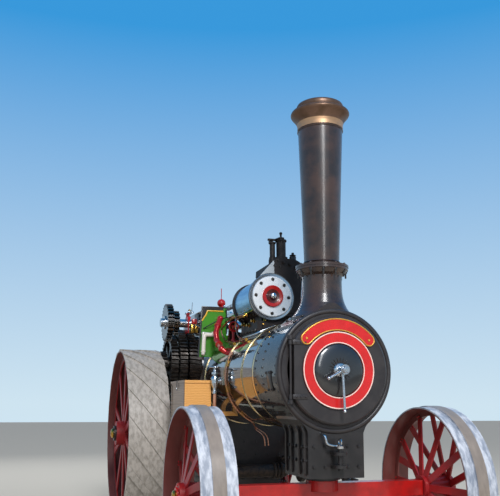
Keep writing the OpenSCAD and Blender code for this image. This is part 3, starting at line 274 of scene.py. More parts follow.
def finish(key, name, ground, second, grain, rough, metal=0.0, stretch=(1, 1, 1), bump=0.0,
           bump_mm=1.0, coat=0.0, coat_rough=0.05, coat_ior=1.5, shine=0.5, pick=None):
    """A paint or metal: two colours mixed by noise of a real grain size, roughness and bump."""
    MADE[key], tree, shader = new_material(name, {
        "Metallic": metal, "Specular IOR Level": shine, "Coat Weight": coat,
        "Coat Roughness": coat_rough, "Coat IOR": coat_ior})
    noise = add_node(tree, "ShaderNodeTexNoise", {"Scale": 1.0, "Detail": 5.0, "Roughness": 0.6},
                     {"Vector": object_place(tree, 1 / grain, stretch)}).outputs["Fac"]
    out = blend(tree, ranged(tree, noise, *COLOUR_SPREAD), shade(ground), shade(second))
    if pick:
        # Painted patches share the ground colour's grain
        tone = ranged(tree, noise, *TONE_SPREAD, *TONES)
        out = blend(tree, 1.0, pick(tree, out), tone, "MULTIPLY")
    tree.links.new(out, shader.inputs["Base Color"])
    tree.links.new(ranged(tree, noise, *ROUGH_SPREAD, *rough), shader.inputs["Roughness"])
    if bump:
        fine = add_node(tree, "ShaderNodeTexNoise", {"Scale": 1.0, "Detail": 3.0},
                        {"Vector": object_place(tree, 1000 / bump_mm, stretch)})
        lifted(tree, shader, fine.outputs["Fac"], bump, min(bump_mm, 3.0) / 3000, bool(coat))


def between(tree, value, low, high):
    """1 where a value lies between two numbers, else 0."""
    sides = []
    for kind, limit in (("GREATER_THAN", low), ("LESS_THAN", high)):
        side = add_node(tree, "ShaderNodeMath", {"operation": kind}, {0: value})
        side.inputs[1].default_value = limit
        sides.append(side.outputs[0])
    return multiplied(tree, *sides)


def from_axis(tree, centre, axis="Y"):
    """Distance from a line through centre along an axis, and the unsigned place along it."""
    place = add_node(tree, "ShaderNodeTexCoord").outputs["Object"]
    shifted = add_node(tree, "ShaderNodeVectorMath", {"operation": "SUBTRACT"}, {0: place})
    shifted.inputs[1].default_value = centre
    parts = add_node(tree, "ShaderNodeSeparateXYZ", None, {0: shifted.outputs[0]}).outputs
    across = {key: parts[key] for key in "XYZ" if key != axis}
    flat = add_node(tree, "ShaderNodeCombineXYZ", None, across).outputs[0]
    length = add_node(tree, "ShaderNodeVectorMath", {"operation": "LENGTH"}, {0: flat})
    along = add_node(tree, "ShaderNodeMath", {"operation": "ABSOLUTE"}, {0: parts[axis]})
    return length.outputs["Value"], along.outputs[0]


def box_paint(*patches):
    """Paint that changes colour inside boxes: each patch is a colour and the box's corners."""

    def pick(tree, base):
        parts = object_parts(tree)
        for code, low, high in patches:
            inside = between(tree, parts["X"], low[0], high[0])
            for key, a, b in (("Y", low[1], high[1]), ("Z", low[2], high[2])):
                inside = multiplied(tree, inside, between(tree, parts[key], a, b))
            base = blend(tree, inside, base, shade(code))
        return base

    return pick


def wheel_paint(centre, *rings):
    """Paint for a wheel: each ring is a colour, its radii and its reach along the axle."""

    def pick(tree, base):
        radius, along = from_axis(tree, centre)
        for code, low, high, near, far in rings:
            mask = multiplied(tree, between(tree, radius, low, high),
                              between(tree, along, near, far))
            base = blend(tree, mask, base, shade(code))
        return base

    return pick


def crank_paint(tree, base):
    """The motion plate and the crankshaft's gears are dark; the shaft itself is bright."""
    shaft_r, gear_r = 0.072, 0.3
    # Where the gears stand on the shaft: outside the right horn plate, and between the plates
    gears = [("#6a645f", (CRANK_X - gear_r, low, 1.8), (CRANK_X + gear_r, high, 2.4))
             for low, high in ((-0.75, -0.47), (-0.02, 0.14))]
    toned = box_paint(*gears)(tree, base)
    radius, _ = from_axis(tree, (CRANK_X, 0, CRANK_Z))
    shaft = blend(tree, between(tree, radius, shaft_r, gear_r), base, toned)
    return box_paint(("#8c7568", (0.262, -1, 1.7), (0.292, 1, 2.2)))(tree, shaft)


def chest_paint(tree, base):
    """The casting's front flange and ear are machined bright. The ear's pale blue-grey is also a
    painted highlight of the sky.
    """
    face_x, flange_r, ear_y = 1.15, 0.206, -0.108
    # Machined ear with a painted sky highlight
    base = box_paint(("#a3adb6", (face_x, -0.4, AXIS_Z), (2, ear_y, 2.6)))(tree, base)
    radius, _ = from_axis(tree, (0, AXIS_Y, AXIS_Z), "X")
    _, along = from_axis(tree, (0, 0, 0), "X")
    front = between(tree, along, face_x, FAR)
    mask = multiplied(tree, between(tree, radius, -1, flange_r), front)
    return blend(tree, mask, base, shade("#565c62"))


def boss_paint(tree, base):
    """The bottom of the boss's dish is darker than its rim: painted shade in the dish's hollow."""
    dish_r = 0.06
    radius, _ = from_axis(tree, (0, AXIS_Y, AXIS_Z), "X")
    return blend(tree, between(tree, radius, -1, dish_r), base, shade("#4a1512"))


def band_edges():
    """Patches along the boiler bands, which are painted over at their edges."""
    edges = []
    # Each band's place as a share of the barrel, and its width as a share of the widest
    for share, part in ((0.0, 1.0), (0.2025, 0.6), (0.519, 0.75), (LAST_BAND, 0.5)):
        fore, width = BANDS[1].x - share * BARREL_L, part * BAND_W
        for low, high in ((0.0, 0.22), (0.78, 1.02)):
            edges.append(("#2a1c14", (fore - width * high, -1, 0), (fore - width * low, 1, 3)))
    return edges


def wood_finish(key, name, ground, grain):
    """Varnished softwood: growth rings 7 mm apart along the board, under a thick gloss coat."""
    MADE[key], tree, shader = new_material(
        name, {"Coat Weight": 0.7, "Coat Roughness": 0.12, "Roughness": 0.45})
    rings = add_node(tree, "ShaderNodeTexWave",
                     {"wave_type": "BANDS", "bands_direction": "Z", "Scale": 22.0,
                      "Distortion": 5.0, "Detail": 3.0, "Detail Scale": 1.2},
                     {"Vector": object_place(tree, 1.0, (0.12, 1, 1))}).outputs["Fac"]
    fresh = blend(tree, rings, shade(ground), shade(grain))
    # The side that faces out is darker and greyer: painted shade of the side turned from the light,
    # and varnish lost to the weather
    shaded_and_weathered = blend(tree, rings, shade("#85705e"), shade("#5f4e41"))
    out_y = TOOLBOX[0].y
    side = between(tree, object_parts(tree)["Y"], out_y - 0.1, out_y + 0.0015)
    tree.links.new(blend(tree, side, fresh, shaded_and_weathered), shader.inputs["Base Color"])
    lifted(tree, shader, rings, 0.25, 0.0006)


class ENGINE_OT_finishes(bpy.types.Operator):
    """Makes the paints and metals and puts them on the solids"""

    bl_idname = "engine.finishes"
    bl_label = "Paints and metals"

    def execute(self, context):
        # Heat-proof paint dries to a satin film that soot dulls in patches
        finish("smokebox", "heatproof_black_paint", "smokebox", "#312d2d", 0.12, (0.36, 0.5),
               bump=0.25, bump_mm=3, coat=0.15, coat_rough=0.3, shine=0.35)
        # Chimney enamel over rough sheet: a gloss film with an orange-peel skin
        finish("chimney", "chimney_gloss_enamel", "chimney", "#241a17", 0.2, (0.4, 0.5),
               bump=0.5, bump_mm=9, coat=0.9, coat_rough=0.19, shine=0.2)
        # Coach paint on sheet cladding: deep gloss, slightly wavy
        finish("cladding", "cladding_coach_paint", "cladding", "#150d0b", 0.3, (0.07, 0.12),
               bump=0.3, bump_mm=70, coat=1.0, coat_rough=0.03, coat_ior=2.1, shine=0.6)
        finish("wrapper", "wrapper_gloss_black", "iron_black", "#141313", 0.15, (0.45, 0.55),
               bump=0.3, bump_mm=50, coat=0.9, shine=0.1)
        finish("black", "black_coach_paint", "iron_black", "#262222", 0.08, (0.35, 0.5),
               bump=0.15, bump_mm=4, coat=0.35, coat_rough=0.15, shine=0.35)
        finish("iron", "matt_black_iron", "#26211f", "#1c1817", 0.05, (0.5, 0.65),
               bump=0.3, bump_mm=3, shine=0.3)
        finish("dish", "door_dish_gloss_black", "#1a191b", "#141315", 0.1, (0.3, 0.4),
               coat=1.0, coat_rough=0.1, shine=0.4)
        finish("chest", "dark_casting_with_bright_flange", "#241b19", "#171110", 0.1,
               (0.45, 0.6), bump=0.3, bump_mm=5, shine=0.3, pick=chest_paint)
        finish("green", "green_coach_paint", "plate_green", "#3b801f", 0.25, (0.3, 0.4),
               bump=0.05, bump_mm=5, coat=0.5, coat_rough=0.08, shine=0.35)
        finish("red", "red_coach_paint", "signal_red", "#981210", 0.1, (0.3, 0.42),
               bump=0.05, bump_mm=4, coat=0.45, coat_rough=0.1, shine=0.35)
        # The boss's red darkens to painted shade in the bottom of its dish
        finish("boss", "red_boss_with_dark_dish", "signal_red", "#981210", 0.05, (0.3, 0.42),
               coat=0.3, coat_rough=0.1, shine=0.35, pick=boss_paint)
        finish("enamel", "vitreous_enamel", "enamel", "#bb1918", 0.1, (0.25, 0.32),
               coat=0.45, shine=0.3)
        finish("lining", "lining_enamel", "lining", "#d3a01a", 0.02, (0.3, 0.4))
        finish("white", "white_gloss_paint", "white", "#d8d2c8", 0.05, (0.25, 0.35), coat=0.7)
        finish("rim_enamel", "rim_enamel", "rim_enamel", "#e2bdb4", 0.05, (0.25, 0.35), coat=0.6)
        finish("gilt", "gilt_paint", "gilt", "#c79a3c", 0.03, (0.3, 0.4), metal=0.5)
        # Polished steel: fine scratches all one way break the reflection up
        brushed = {"metal": 1.0, "stretch": (0.1, 1, 1), "bump": 0.08, "bump_mm": 0.8}
        finish("steel", "polished_steel", "steel", "#aeb2b6", 0.004, (0.14, 0.28), **brushed)
        finish("motion", "bright_motion_steel", "steel", "#aeb2b6", 0.004, (0.16, 0.3),
               pick=crank_paint, **brushed)
        # Planished steel is blue-grey of its own; the stronger sky blue of these colours is a
        # painted reflection of the sky
        finish("lagging", "planished_lagging_sheet", "#84b8d6", "#6ca4c6", 0.05, (0.16, 0.26),
               metal=1.0, stretch=(0.2, 1, 1), bump=0.06, bump_mm=2)
        # Faced and burnished by hand; its almost white colour beside the black is partly a painted
        # reflection of the bright sky
        finish("bright_face", "burnished_cover_face", "#eef1f4", "#d5dbe1", 0.006, (0.28, 0.42),
               metal=0.45, bump=0.06)
        finish("bands", "polished_boiler_band", "#f0dcb4", "#dcbf86", 0.05, (0.14, 0.26),
               metal=1.0, pick=box_paint(*band_edges()))
        finish("brass", "polished_brass", "brass", "#b1853a", 0.06, (0.16, 0.3),
               metal=1.0, bump=0.05, bump_mm=2)
        finish("copper", "bright_copper", "copper", "#b47c60", 0.05, (0.18, 0.34), metal=1.0)
        # Weathered copper turns brown and loses its shine. The band at the cap's foot is lighter
        # tan: partly its bronze tone, partly a painted reflection
        band_tone_and_sheen = ("#b08a68", (0, -1, CAP[0].z - 0.01), (FAR, 1, CAP[0].z + 0.05))
        finish("cap", "tarnished_copper", "cap", "#57402f", 0.09, (0.36, 0.52),
               metal=0.6, bump=0.2, bump_mm=6, pick=box_paint(band_tone_and_sheen))
        # The exhaust elbow is white and the long pipe beside the boiler red
        finish("pipework", "copper_and_painted_pipe", "copper", "#b47c60", 0.05, (0.22, 0.36),
               metal=0.35, coat=0.4,
               pick=box_paint(("signal_red", (0.078, -0.43, 1.655), (0.56, 0, 2.2)),
                              ("white", (0.078, -0.6, 1.69), (0.1375, -0.345, 1.935))))
        finish("gear", "oiled_cast_iron", "gear", "#38332f", 0.05, (0.3, 0.5),
               metal=0.85, bump=0.2, bump_mm=2.5)
        finish("chain", "forged_iron", "chain", "#4a3d35", 0.03, (0.45, 0.6),
               metal=0.6, bump=0.3, bump_mm=3)
        wood_finish("wood", "varnished_pine", "wood", "dark_grain")
        # Inside the rims the red is darkened with painted shade
        finish("rear_wheel", "worn_iron_and_red_paint", "tread", "#958f88", 0.03, (0.4, 0.6),
               stretch=(0.5, 1, 0.5), bump=0.15, bump_mm=4,
               pick=wheel_paint((REAR_X, 0, REAR_R), ("rim_shade_red", 0, REAR_R - 0.024, 0, FAR),
                                ("wheel_red", 0, REAR_R - 0.1, 0, FAR)))
        # The front treads' blue-grey is worn bright steel with a painted reflection of the sky;
        # inside the rims the red is darkened with painted shade
        hollow = ("dust", FRONT_R - 0.012, FAR, FRONT_MID - 0.044, FRONT_MID + 0.044)
        finish("front_wheel", "bright_tread_and_red_paint", "#8e97a8", "#bcc2ce", 0.035,
               (0.28, 0.45), stretch=(0.35, 1, 0.35), bump=0.15, bump_mm=3,
               pick=wheel_paint((FRONT_X, 0, FRONT_R), hollow,
                                ("rim_shade_red", 0, FRONT_R - 0.021, 0, FAR),
                                ("wheel_red", 0, FRONT_R - 0.078, 0, FAR)))
        finish("flywheel", "red_paint_and_bright_rim", "signal_red", "#a0191a", 0.1, (0.2, 0.35),
               coat=0.5,
               pick=wheel_paint((CRANK_X, 0, CRANK_Z), ("steel", 0.681, FAR, 0, FAR)))
        for key, nodes in WEARS.items():
            for node in nodes:
                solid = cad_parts[node]
                for slot in solid.material_slots:
                    slot.material = MADE[key]
                if not solid.material_slots:
                    solid.data.materials.append(MADE[key])
        return {"FINISHED"}


# Modelling helpers


def only(*objects):
    """Selects these objects alone and makes the last one active."""
    bpy.ops.object.select_all(action="DESELECT")
    for each in objects:
        each.select_set(True)
    bpy.context.view_layer.objects.active = objects[-1]


def joined(*pieces):
    """The pieces as one object."""
    only(*pieces)
    if len(pieces) > 1:
        bpy.ops.object.join()
    return bpy.context.object


def dress(piece, name, material, body="engine", slot=None, smooth=35):
    """Names and shades a finished piece or list of pieces, and gives it material and body."""
    if isinstance(piece, list):
        piece = joined(*piece)
    piece.name = piece.data.name = name
    only(piece)
    bpy.ops.object.transform_apply(location=True, rotation=True, scale=True)
    bpy.ops.object.shade_smooth_by_angle(angle=radians(smooth))
    piece.data.materials.clear()
    piece.data.materials.append(MADE[material])
    slot = slot or SLOTS[material]
    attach(piece, body)
    return piece


def turned(profile, centre=(0, 0, 0), axis="Z", steps=32):
    """Spins a profile of (along, radius) points about an axis through centre."""
    bpy.ops.object.select_all(action="DESELECT")
    bpy.ops.mesh.primitive_plane_add(size=0.1, location=(0, 0, 0))
    piece = bpy.context.object
    along = Vector(AXES[axis] if isinstance(axis, str) else axis).normalized()
    side = along.orthogonal().normalized()
    points = [Vector(centre) + along * a + side * r for a, r in profile]
    bpy.ops.object.mode_set(mode="EDIT")
    bpy.ops.mesh.merge(type="CENTER")
    bpy.ops.transform.translate(value=points[0])
    for p, q in zip(points, points[1:]):
        bpy.ops.mesh.extrude_vertices_move(TRANSFORM_OT_translate={"value": q - p})
    bpy.ops.mesh.select_all(action="SELECT")
    bpy.ops.mesh.spin(steps=steps, angle=2 * pi, center=centre, axis=along)
    bpy.ops.mesh.select_all(action="SELECT")
    bpy.ops.mesh.remove_doubles(threshold=1e-5)
    bpy.ops.mesh.normals_make_consistent(inside=False)
    bpy.ops.object.mode_set(mode="OBJECT")
    return piece


def collar(half, inner, outer, centre, axis, steps=24):
    """A flat ring around a pipe."""
    profile = [(-half, inner), (-half, outer), (half, outer), (half, inner), (-half, inner)]
    return turned(profile, centre, axis, steps)


def tube(points, radius, smooth=True, closed=False, sides=3):
    """A pipe, rod or painted line along points, made from a curve."""
    bpy.ops.object.select_all(action="DESELECT")
    bpy.ops.curve.primitive_nurbs_path_add(location=(0, 0, 0))
    piece = bpy.context.object
    curve = piece.data
    curve.splines.clear()
    spline = curve.splines.new("NURBS" if smooth else "POLY")
    spline.points.add(len(points) - 1)
    for spot, point in zip(spline.points, points):
        spot.co = (*point, 1)
    if smooth:
        spline.order_u = 3
        spline.use_endpoint_u = not closed
    spline.use_cyclic_u = closed
    curve.resolution_u = 6
    curve.bevel_depth = radius
    curve.bevel_resolution = sides
    curve.use_fill_caps = True
    only(piece)
    bpy.ops.object.convert(target="MESH")
    return bpy.context.object


def ray(angle):
    """The unit vector square to the boiler that leans to the left from upright by an angle."""
    return Vector((0, sin(angle), cos(angle)))


def hoop(centre, radius, thick, count):
    """A round ring of wire, square to the boiler."""
    turn = 2 * pi / count
    points = [centre + ray(turn * i) * radius for i in range(count)]
    return tube(points, thick, smooth=False, closed=True)


def ease(piece, width, segments=2):
    """Bevels a piece's edges."""
    bevel = piece.modifiers.new("bevel", "BEVEL")
    bevel.width = width
    bevel.segments = segments
    bevel.limit_method = "ANGLE"
    only(piece)
    bpy.ops.object.modifier_apply(modifier=bevel.name)
    return piece


def block(low, high, bevel, segments=2):
    """A cast or sawn block between two corners, with its edges eased."""
    low, high = Vector(low), Vector(high)
    bpy.ops.object.select_all(action="DESELECT")
    bpy.ops.mesh.primitive_cube_add(size=1, location=(low + high) / 2)
    piece = bpy.context.object
    piece.scale = high - low
    bpy.ops.object.transform_apply(location=True, rotation=True, scale=True)
    return ease(piece, bevel, segments)


def slab(outline, low, high, bevel=0.0):
    """A plate square to the boiler: an outline of (y, z) points, from low to high along x."""
    bpy.ops.object.select_all(action="DESELECT")
    bpy.ops.mesh.primitive_circle_add(vertices=len(outline), fill_type="NGON", location=(0, 0, 0))
    piece = bpy.context.object
    for vertex, (y, z) in zip(piece.data.vertices, outline):
        vertex.co = (low, y, z)
    bpy.ops.object.mode_set(mode="EDIT")
    bpy.ops.mesh.select_all(action="SELECT")
    bpy.ops.mesh.extrude_region_move(TRANSFORM_OT_translate={"value": (high - low, 0, 0)})
    bpy.ops.mesh.select_all(action="SELECT")
    bpy.ops.mesh.normals_make_consistent(inside=False)
    bpy.ops.object.mode_set(mode="OBJECT")
    return ease(piece, bevel) if bevel else piece


def copied(source, places):
    """Copies the source to each place, a matrix, and joins the copies."""
    made = []
    for place in places:
        twin = source.copy()
        twin.data = source.data.copy()
        twin.data.transform(place)
        bpy.context.collection.objects.link(twin)
        made.append(twin)
    bpy.data.objects.remove(source)
    return joined(*made)


def facing(way):
    """The turn that points +Z a given way."""
    return Vector(way).to_track_quat("Z", "Y").to_matrix().to_4x4()


def scatter(source, spots):
    """Copies the source, which faces +Z, to each spot: a point and the way it faces."""
    return copied(source, [Matrix.Translation(point) @ facing(way) for point, way in spots])


def rivet(r):
    """A snap-head rivet: a low dome over its plate."""
    return turned([(-0.3 * r, 0), (-0.3 * r, r), (0, r), (0.45 * r, 0.86 * r),
                   (0.75 * r, 0.5 * r), (0.86 * r, 0)], steps=8)


def bolt(r, tall=0.7):
    """A hexagon nut on its washer, with the stud's end showing."""
    base, top = 0.15 * r, (0.15 + tall) * r
    washer = turned([(-0.2 * r, 0), (-0.2 * r, 1.45 * r), (base, 1.45 * r), (base, 0)], steps=12)
    bpy.ops.object.select_all(action="DESELECT")
    bpy.ops.mesh.primitive_cylinder_add(vertices=6, radius=1.15 * r, depth=tall * r,
                                        location=(0, 0, (0.15 + tall / 2) * r))
    nut = ease(bpy.context.object, 0.12 * r, 1)
    stud = turned([(0, 0), (0, 0.6 * r), (top + 0.25 * r, 0.6 * r), (top + 0.35 * r, 0.5 * r),
                   (top + 0.35 * r, 0)], steps=8)
    return joined(washer, nut, stud)


def oil_cup(r):
    """A lidded brass oil cup that stands on its stem."""
    return turned([(-0.01, 0), (-0.01, 0.4 * r), (0.6 * r, 0.4 * r), (0.8 * r, r), (2.3 * r, r),
                   (2.4 * r, 1.15 * r), (2.7 * r, 1.15 * r), (3.0 * r, 0.7 * r),
                   (3.15 * r, 0.25 * r), (3.5 * r, 0.25 * r), (3.6 * r, 0)], steps=14)


def around(centre, radius, count, axis="X", start=0.0, way=None):
    """Spots on a circle about an axis, facing along it, a given way, or out from it."""
    spots = []
    for i in range(count):
        a = radians(start + 360 * i / count)
        c, s = cos(a), sin(a)
        out = Vector({"X": (0, s, c), "Y": (s, 0, c), "Z": (c, s, 0)}[axis])
        spots.append((Vector(centre) + out * radius, out if way == "out" else way or AXES[axis]))
    return spots


def row(start, end, gap, way):
    """Spots along a line, evenly spaced at about the gap, ends included."""
    start, end = Vector(start), Vector(end)
    count = max(2, round((end - start).length / gap) + 1)
    return [(start.lerp(end, i / (count - 1)), Vector(way)) for i in range(count)]


def flip(spots):
    """The same spots on the engine's other side."""
    return [(Vector((p.x, -p.y, p.z)), Vector((f[0], -f[1], f[2]))) for p, f in spots]


def notched(low, high, r=0.034):
    """A panel's outline, its corners turned inward in quarter circles as in coach painting."""
    corners = (low, (high[0], low[1]), high, (low[0], high[1]))
    made = []
    for (a, b), (u, v) in zip(corners, ((0, 1), (-1, 0), (0, -1), (1, 0))):
        for k in range(7):
            t = k / 6 * pi / 2
            c, s = cos(t), sin(t)
            made.append((a + (u * c + v * s) * r, b + (v * c - u * s) * r))
    return made


# The steps that make the pieces


class ENGINE_OT_smokebox_trim(bpy.types.Operator):
    """Rivets the smokebox and fits its side cover and the chimney base's bolts"""

    bl_idname = "engine.smokebox_trim"
    bl_label = "Smokebox rivets and cover"

    def execute(self, context):
        radius = (SMOKEBOX[1].z - SMOKEBOX[0].z) / 2
        spots = []
        for x in (SMOKEBOX[0].x + 0.03, SMOKEBOX[0].x + 0.20, RING[0].x - 0.035):
            # The chimney base and the perch bracket leave no room at the top and the bottom
            for p, out in around((x, 0, BOILER_Z), radius, 44, start=4, way="out"):
                if abs(p.y) > 0.29 or (p.z < BOILER_Z and abs(p.y) > 0.24):
                    spots.append((p, out))
        rivets = scatter(rivet(context.scene.engine_sizes.rivet_r), spots)
        dress(rivets, "smokebox_rivets", "wrapper")

        # An inspection cover on the smokebox's right side
        turn = (Matrix.Translation((SMOKEBOX[1].x - 0.17, 0, BOILER_Z))
                @ Matrix.Rotation(radians(100), 4, "X"))
        cover = block((-0.045, -0.075, 0.001), (0.045, 0.075, 0.012), 0.006)
        cover.data.transform(turn @ Matrix.Translation((0, 0, radius - 0.006)))
        dress(cover, "smokebox_side_cover", "black")
        bolts = [(turn @ Vector((a, b, radius + 0.006)), turn.to_3x3() @ Vector(UP))
                 for b in (-0.062, 0.062) for a in (-0.034, 0.034)]
        dress(scatter(bolt(0.007), bolts), "smokebox_cover_bolts", "black")
        saddle = []
        for side in (-1, 1):
            for x in (CHIMNEY_X - 0.155, CHIMNEY_X + 0.155):
                for angle in (30, 40):
                    out = ray(radians(angle * side))
                    saddle.append((Vector((x, 0, BOILER_Z)) + out * (radius + 0.014), out))
        dress(scatter(bolt(0.011), saddle), "saddle_bolts", "black")
        return {"FINISHED"}


class ENGINE_OT_door_fittings(bpy.types.Operator):
    """Fits the door's ribs, dish, plate borders, hinge straps and nut"""

    bl_idname = "engine.door_fittings"
    bl_label = "Smokebox door fittings"

    def execute(self, context):
        hub = Vector((RING_X, 0, BOILER_Z))
        quarter = Matrix.Rotation(pi / 2, 4, "Y")
        count = context.scene.engine_sizes.ribs
        rib = block((-0.0022, 0.042, 0.066), (0.0022, 0.086, 0.0795), 0.0015, 1)
        turns = [Matrix.Rotation(2 * pi * i / count, 4, "Z") for i in range(count)]
        ribs = copied(rib, [Matrix.Translation(hub) @ quarter @ turn for turn in turns])
        dress(ribs, "door_hub_ribs", "smokebox", "smokebox_door")

        # The dished middle of the door has a higher gloss than the rest
        dish = [(0.0467 + 0.028 * sin(a), 0.062 + 0.1245 * cos(a))
                for a in map(radians, range(4, 90, 5))]
        back = (0.0455, dish[0][1])
        skin = [back] + dish + [(dish[-1][0] - 0.0015, dish[-1][1]), back]
        dress(turned(skin, hub, "X", 96), "door_dish", "dish", "smokebox_door", smooth=60)

        # Raised edges around the two round red plates
        face = 0.054
        edges = []
        for r, w in ((0.1935, 0.0035), (0.2672, 0.0038)):
            edges.append(turned([(face - 0.001, r - w), (face + 0.002, r - w), (face + 0.003, r),
                                 (face + 0.002, r + w), (face - 0.001, r + w),
                                 (face - 0.001, r - w)], hub, "X", 96))
        dress(edges, "round_plate_edges", "rim_enamel", "smokebox_door")

        # The arched plate's border: two arcs joined by half circles
        plate = hub + Vector((0.048, 0, 0))
        half, reach, low, high, inset = 0.0445, radians(48), 0.279, 0.368, 0.005
        sweep = [-reach + 2 * reach * i / 24 for i in range(25)]
        ends = []
        for side in (1, -1):
            out, on = ray(side * reach), Vector((0, side * cos(reach), -sin(reach)))
            ends.append([out * (low + high) / 2
                         + (out * cos(t) + on * sin(t)) * (half - inset)
                         for t in [pi * i / 10 for i in range(1, 10)]])
        path = [ray(a) * (high - inset) for a in sweep] + ends[0]
        path += [ray(a) * (low + inset) for a in sweep[::-1]] + ends[1][::-1]
        border = tube([plate + p for p in path], 0.0045, smooth=False, closed=True)
        dress(border, "arched_plate_border", "gilt", "smokebox_door")
        studs = [(plate + ray(a) * 0.3235, FORE) for a in (-reach, reach)]
        dress(scatter(rivet(0.009), studs), "arched_plate_screws", "gilt", "smokebox_door")

        # Hinge straps that follow the flat of the door, and their rivets
        straps, heads, strap_x = [], [], RING_X + 0.046
        for z in (BOILER_Z - 0.188, BOILER_Z + 0.188):
            straps.append(block((RING_X + 0.038, -0.345, z - 0.017),
                                (strap_x, -0.232, z + 0.017), 0.005))
            heads += row((strap_x, -0.32, z), (strap_x, -0.25, z), 0.035, FORE)
        dress(straps, "door_hinge_straps", "smokebox", "smokebox_door")
        dress(scatter(rivet(0.0075), heads), "door_strap_rivets", "smokebox", "smokebox_door")
        nut = bolt(0.024, 0.8)
        nut.data.transform(Matrix.Translation(hub + Vector((0.15, 0, 0))) @ quarter)
        dress(nut, "door_dart_nut", "steel", "smokebox_door")
        return {"FINISHED"}


class ENGINE_OT_chimney_trim(bpy.types.Operator):
    """Fits the chimney's beads, flange bolts and seam rivets"""

    bl_idname = "engine.chimney_trim"
    bl_label = "Chimney beads and bolts"

    def execute(self, context):
        flange_z = CHIMNEY[0].z
        stud = turned([(-0.004, 0), (-0.004, 0.007), (0.05, 0.007), (0.055, 0.005), (0.055, 0)],
                      steps=8)
        under = around((CHIMNEY_X, 0, flange_z - 0.0215), 0.1775, 12, "Z", 10, (0, 0, -1))
        nuts = scatter(joined(bolt(0.0125, 1.1), stud), under)
        dress(nuts, "chimney_flange_nuts", "black")
        over = around((CHIMNEY_X, 0, flange_z + 0.0165), 0.1835, 12, "Z", 10)
        dress(scatter(bolt(0.0095, 0.8), over), "chimney_flange_bolts", "chimney")

        # Two rows of rivets up the seam at the back, where the barrel widens upwards
        foot_z, foot_r, top_z, top_r = flange_z + 0.036, 0.132, CAP[0].z, 0.172
        seam = []
        for i in range(22):
            z = flange_z + 0.07 + i * 0.047
            r = foot_r + (top_r - foot_r) * (z - foot_z) / (top_z - foot_z)
            for off in (-0.016, 0.016):
                a = pi + off / r
                out = Vector((cos(a), sin(a), 0))
                seam.append((Vector((CHIMNEY_X, 0, z)) + out * r, out))
        dress(scatter(rivet(0.006), seam), "chimney_seam_rivets", "chimney")
        beads = []
        for z, r, w in ((flange_z + 0.044, foot_r + 0.0005, 0.007),
                        (top_z - 0.012, top_r, 0.006)):
            beads.append(turned([(z - w, r - 0.004), (z - 0.7 * w, r + 0.6 * w), (z, r + w),
                                 (z + 0.7 * w, r + 0.6 * w), (z + w, r - 0.004),
                                 (z - w, r - 0.004)], (CHIMNEY_X, 0, 0), "Z", 96))
        dress(beads, "chimney_beads", "chimney")
        return {"FINISHED"}


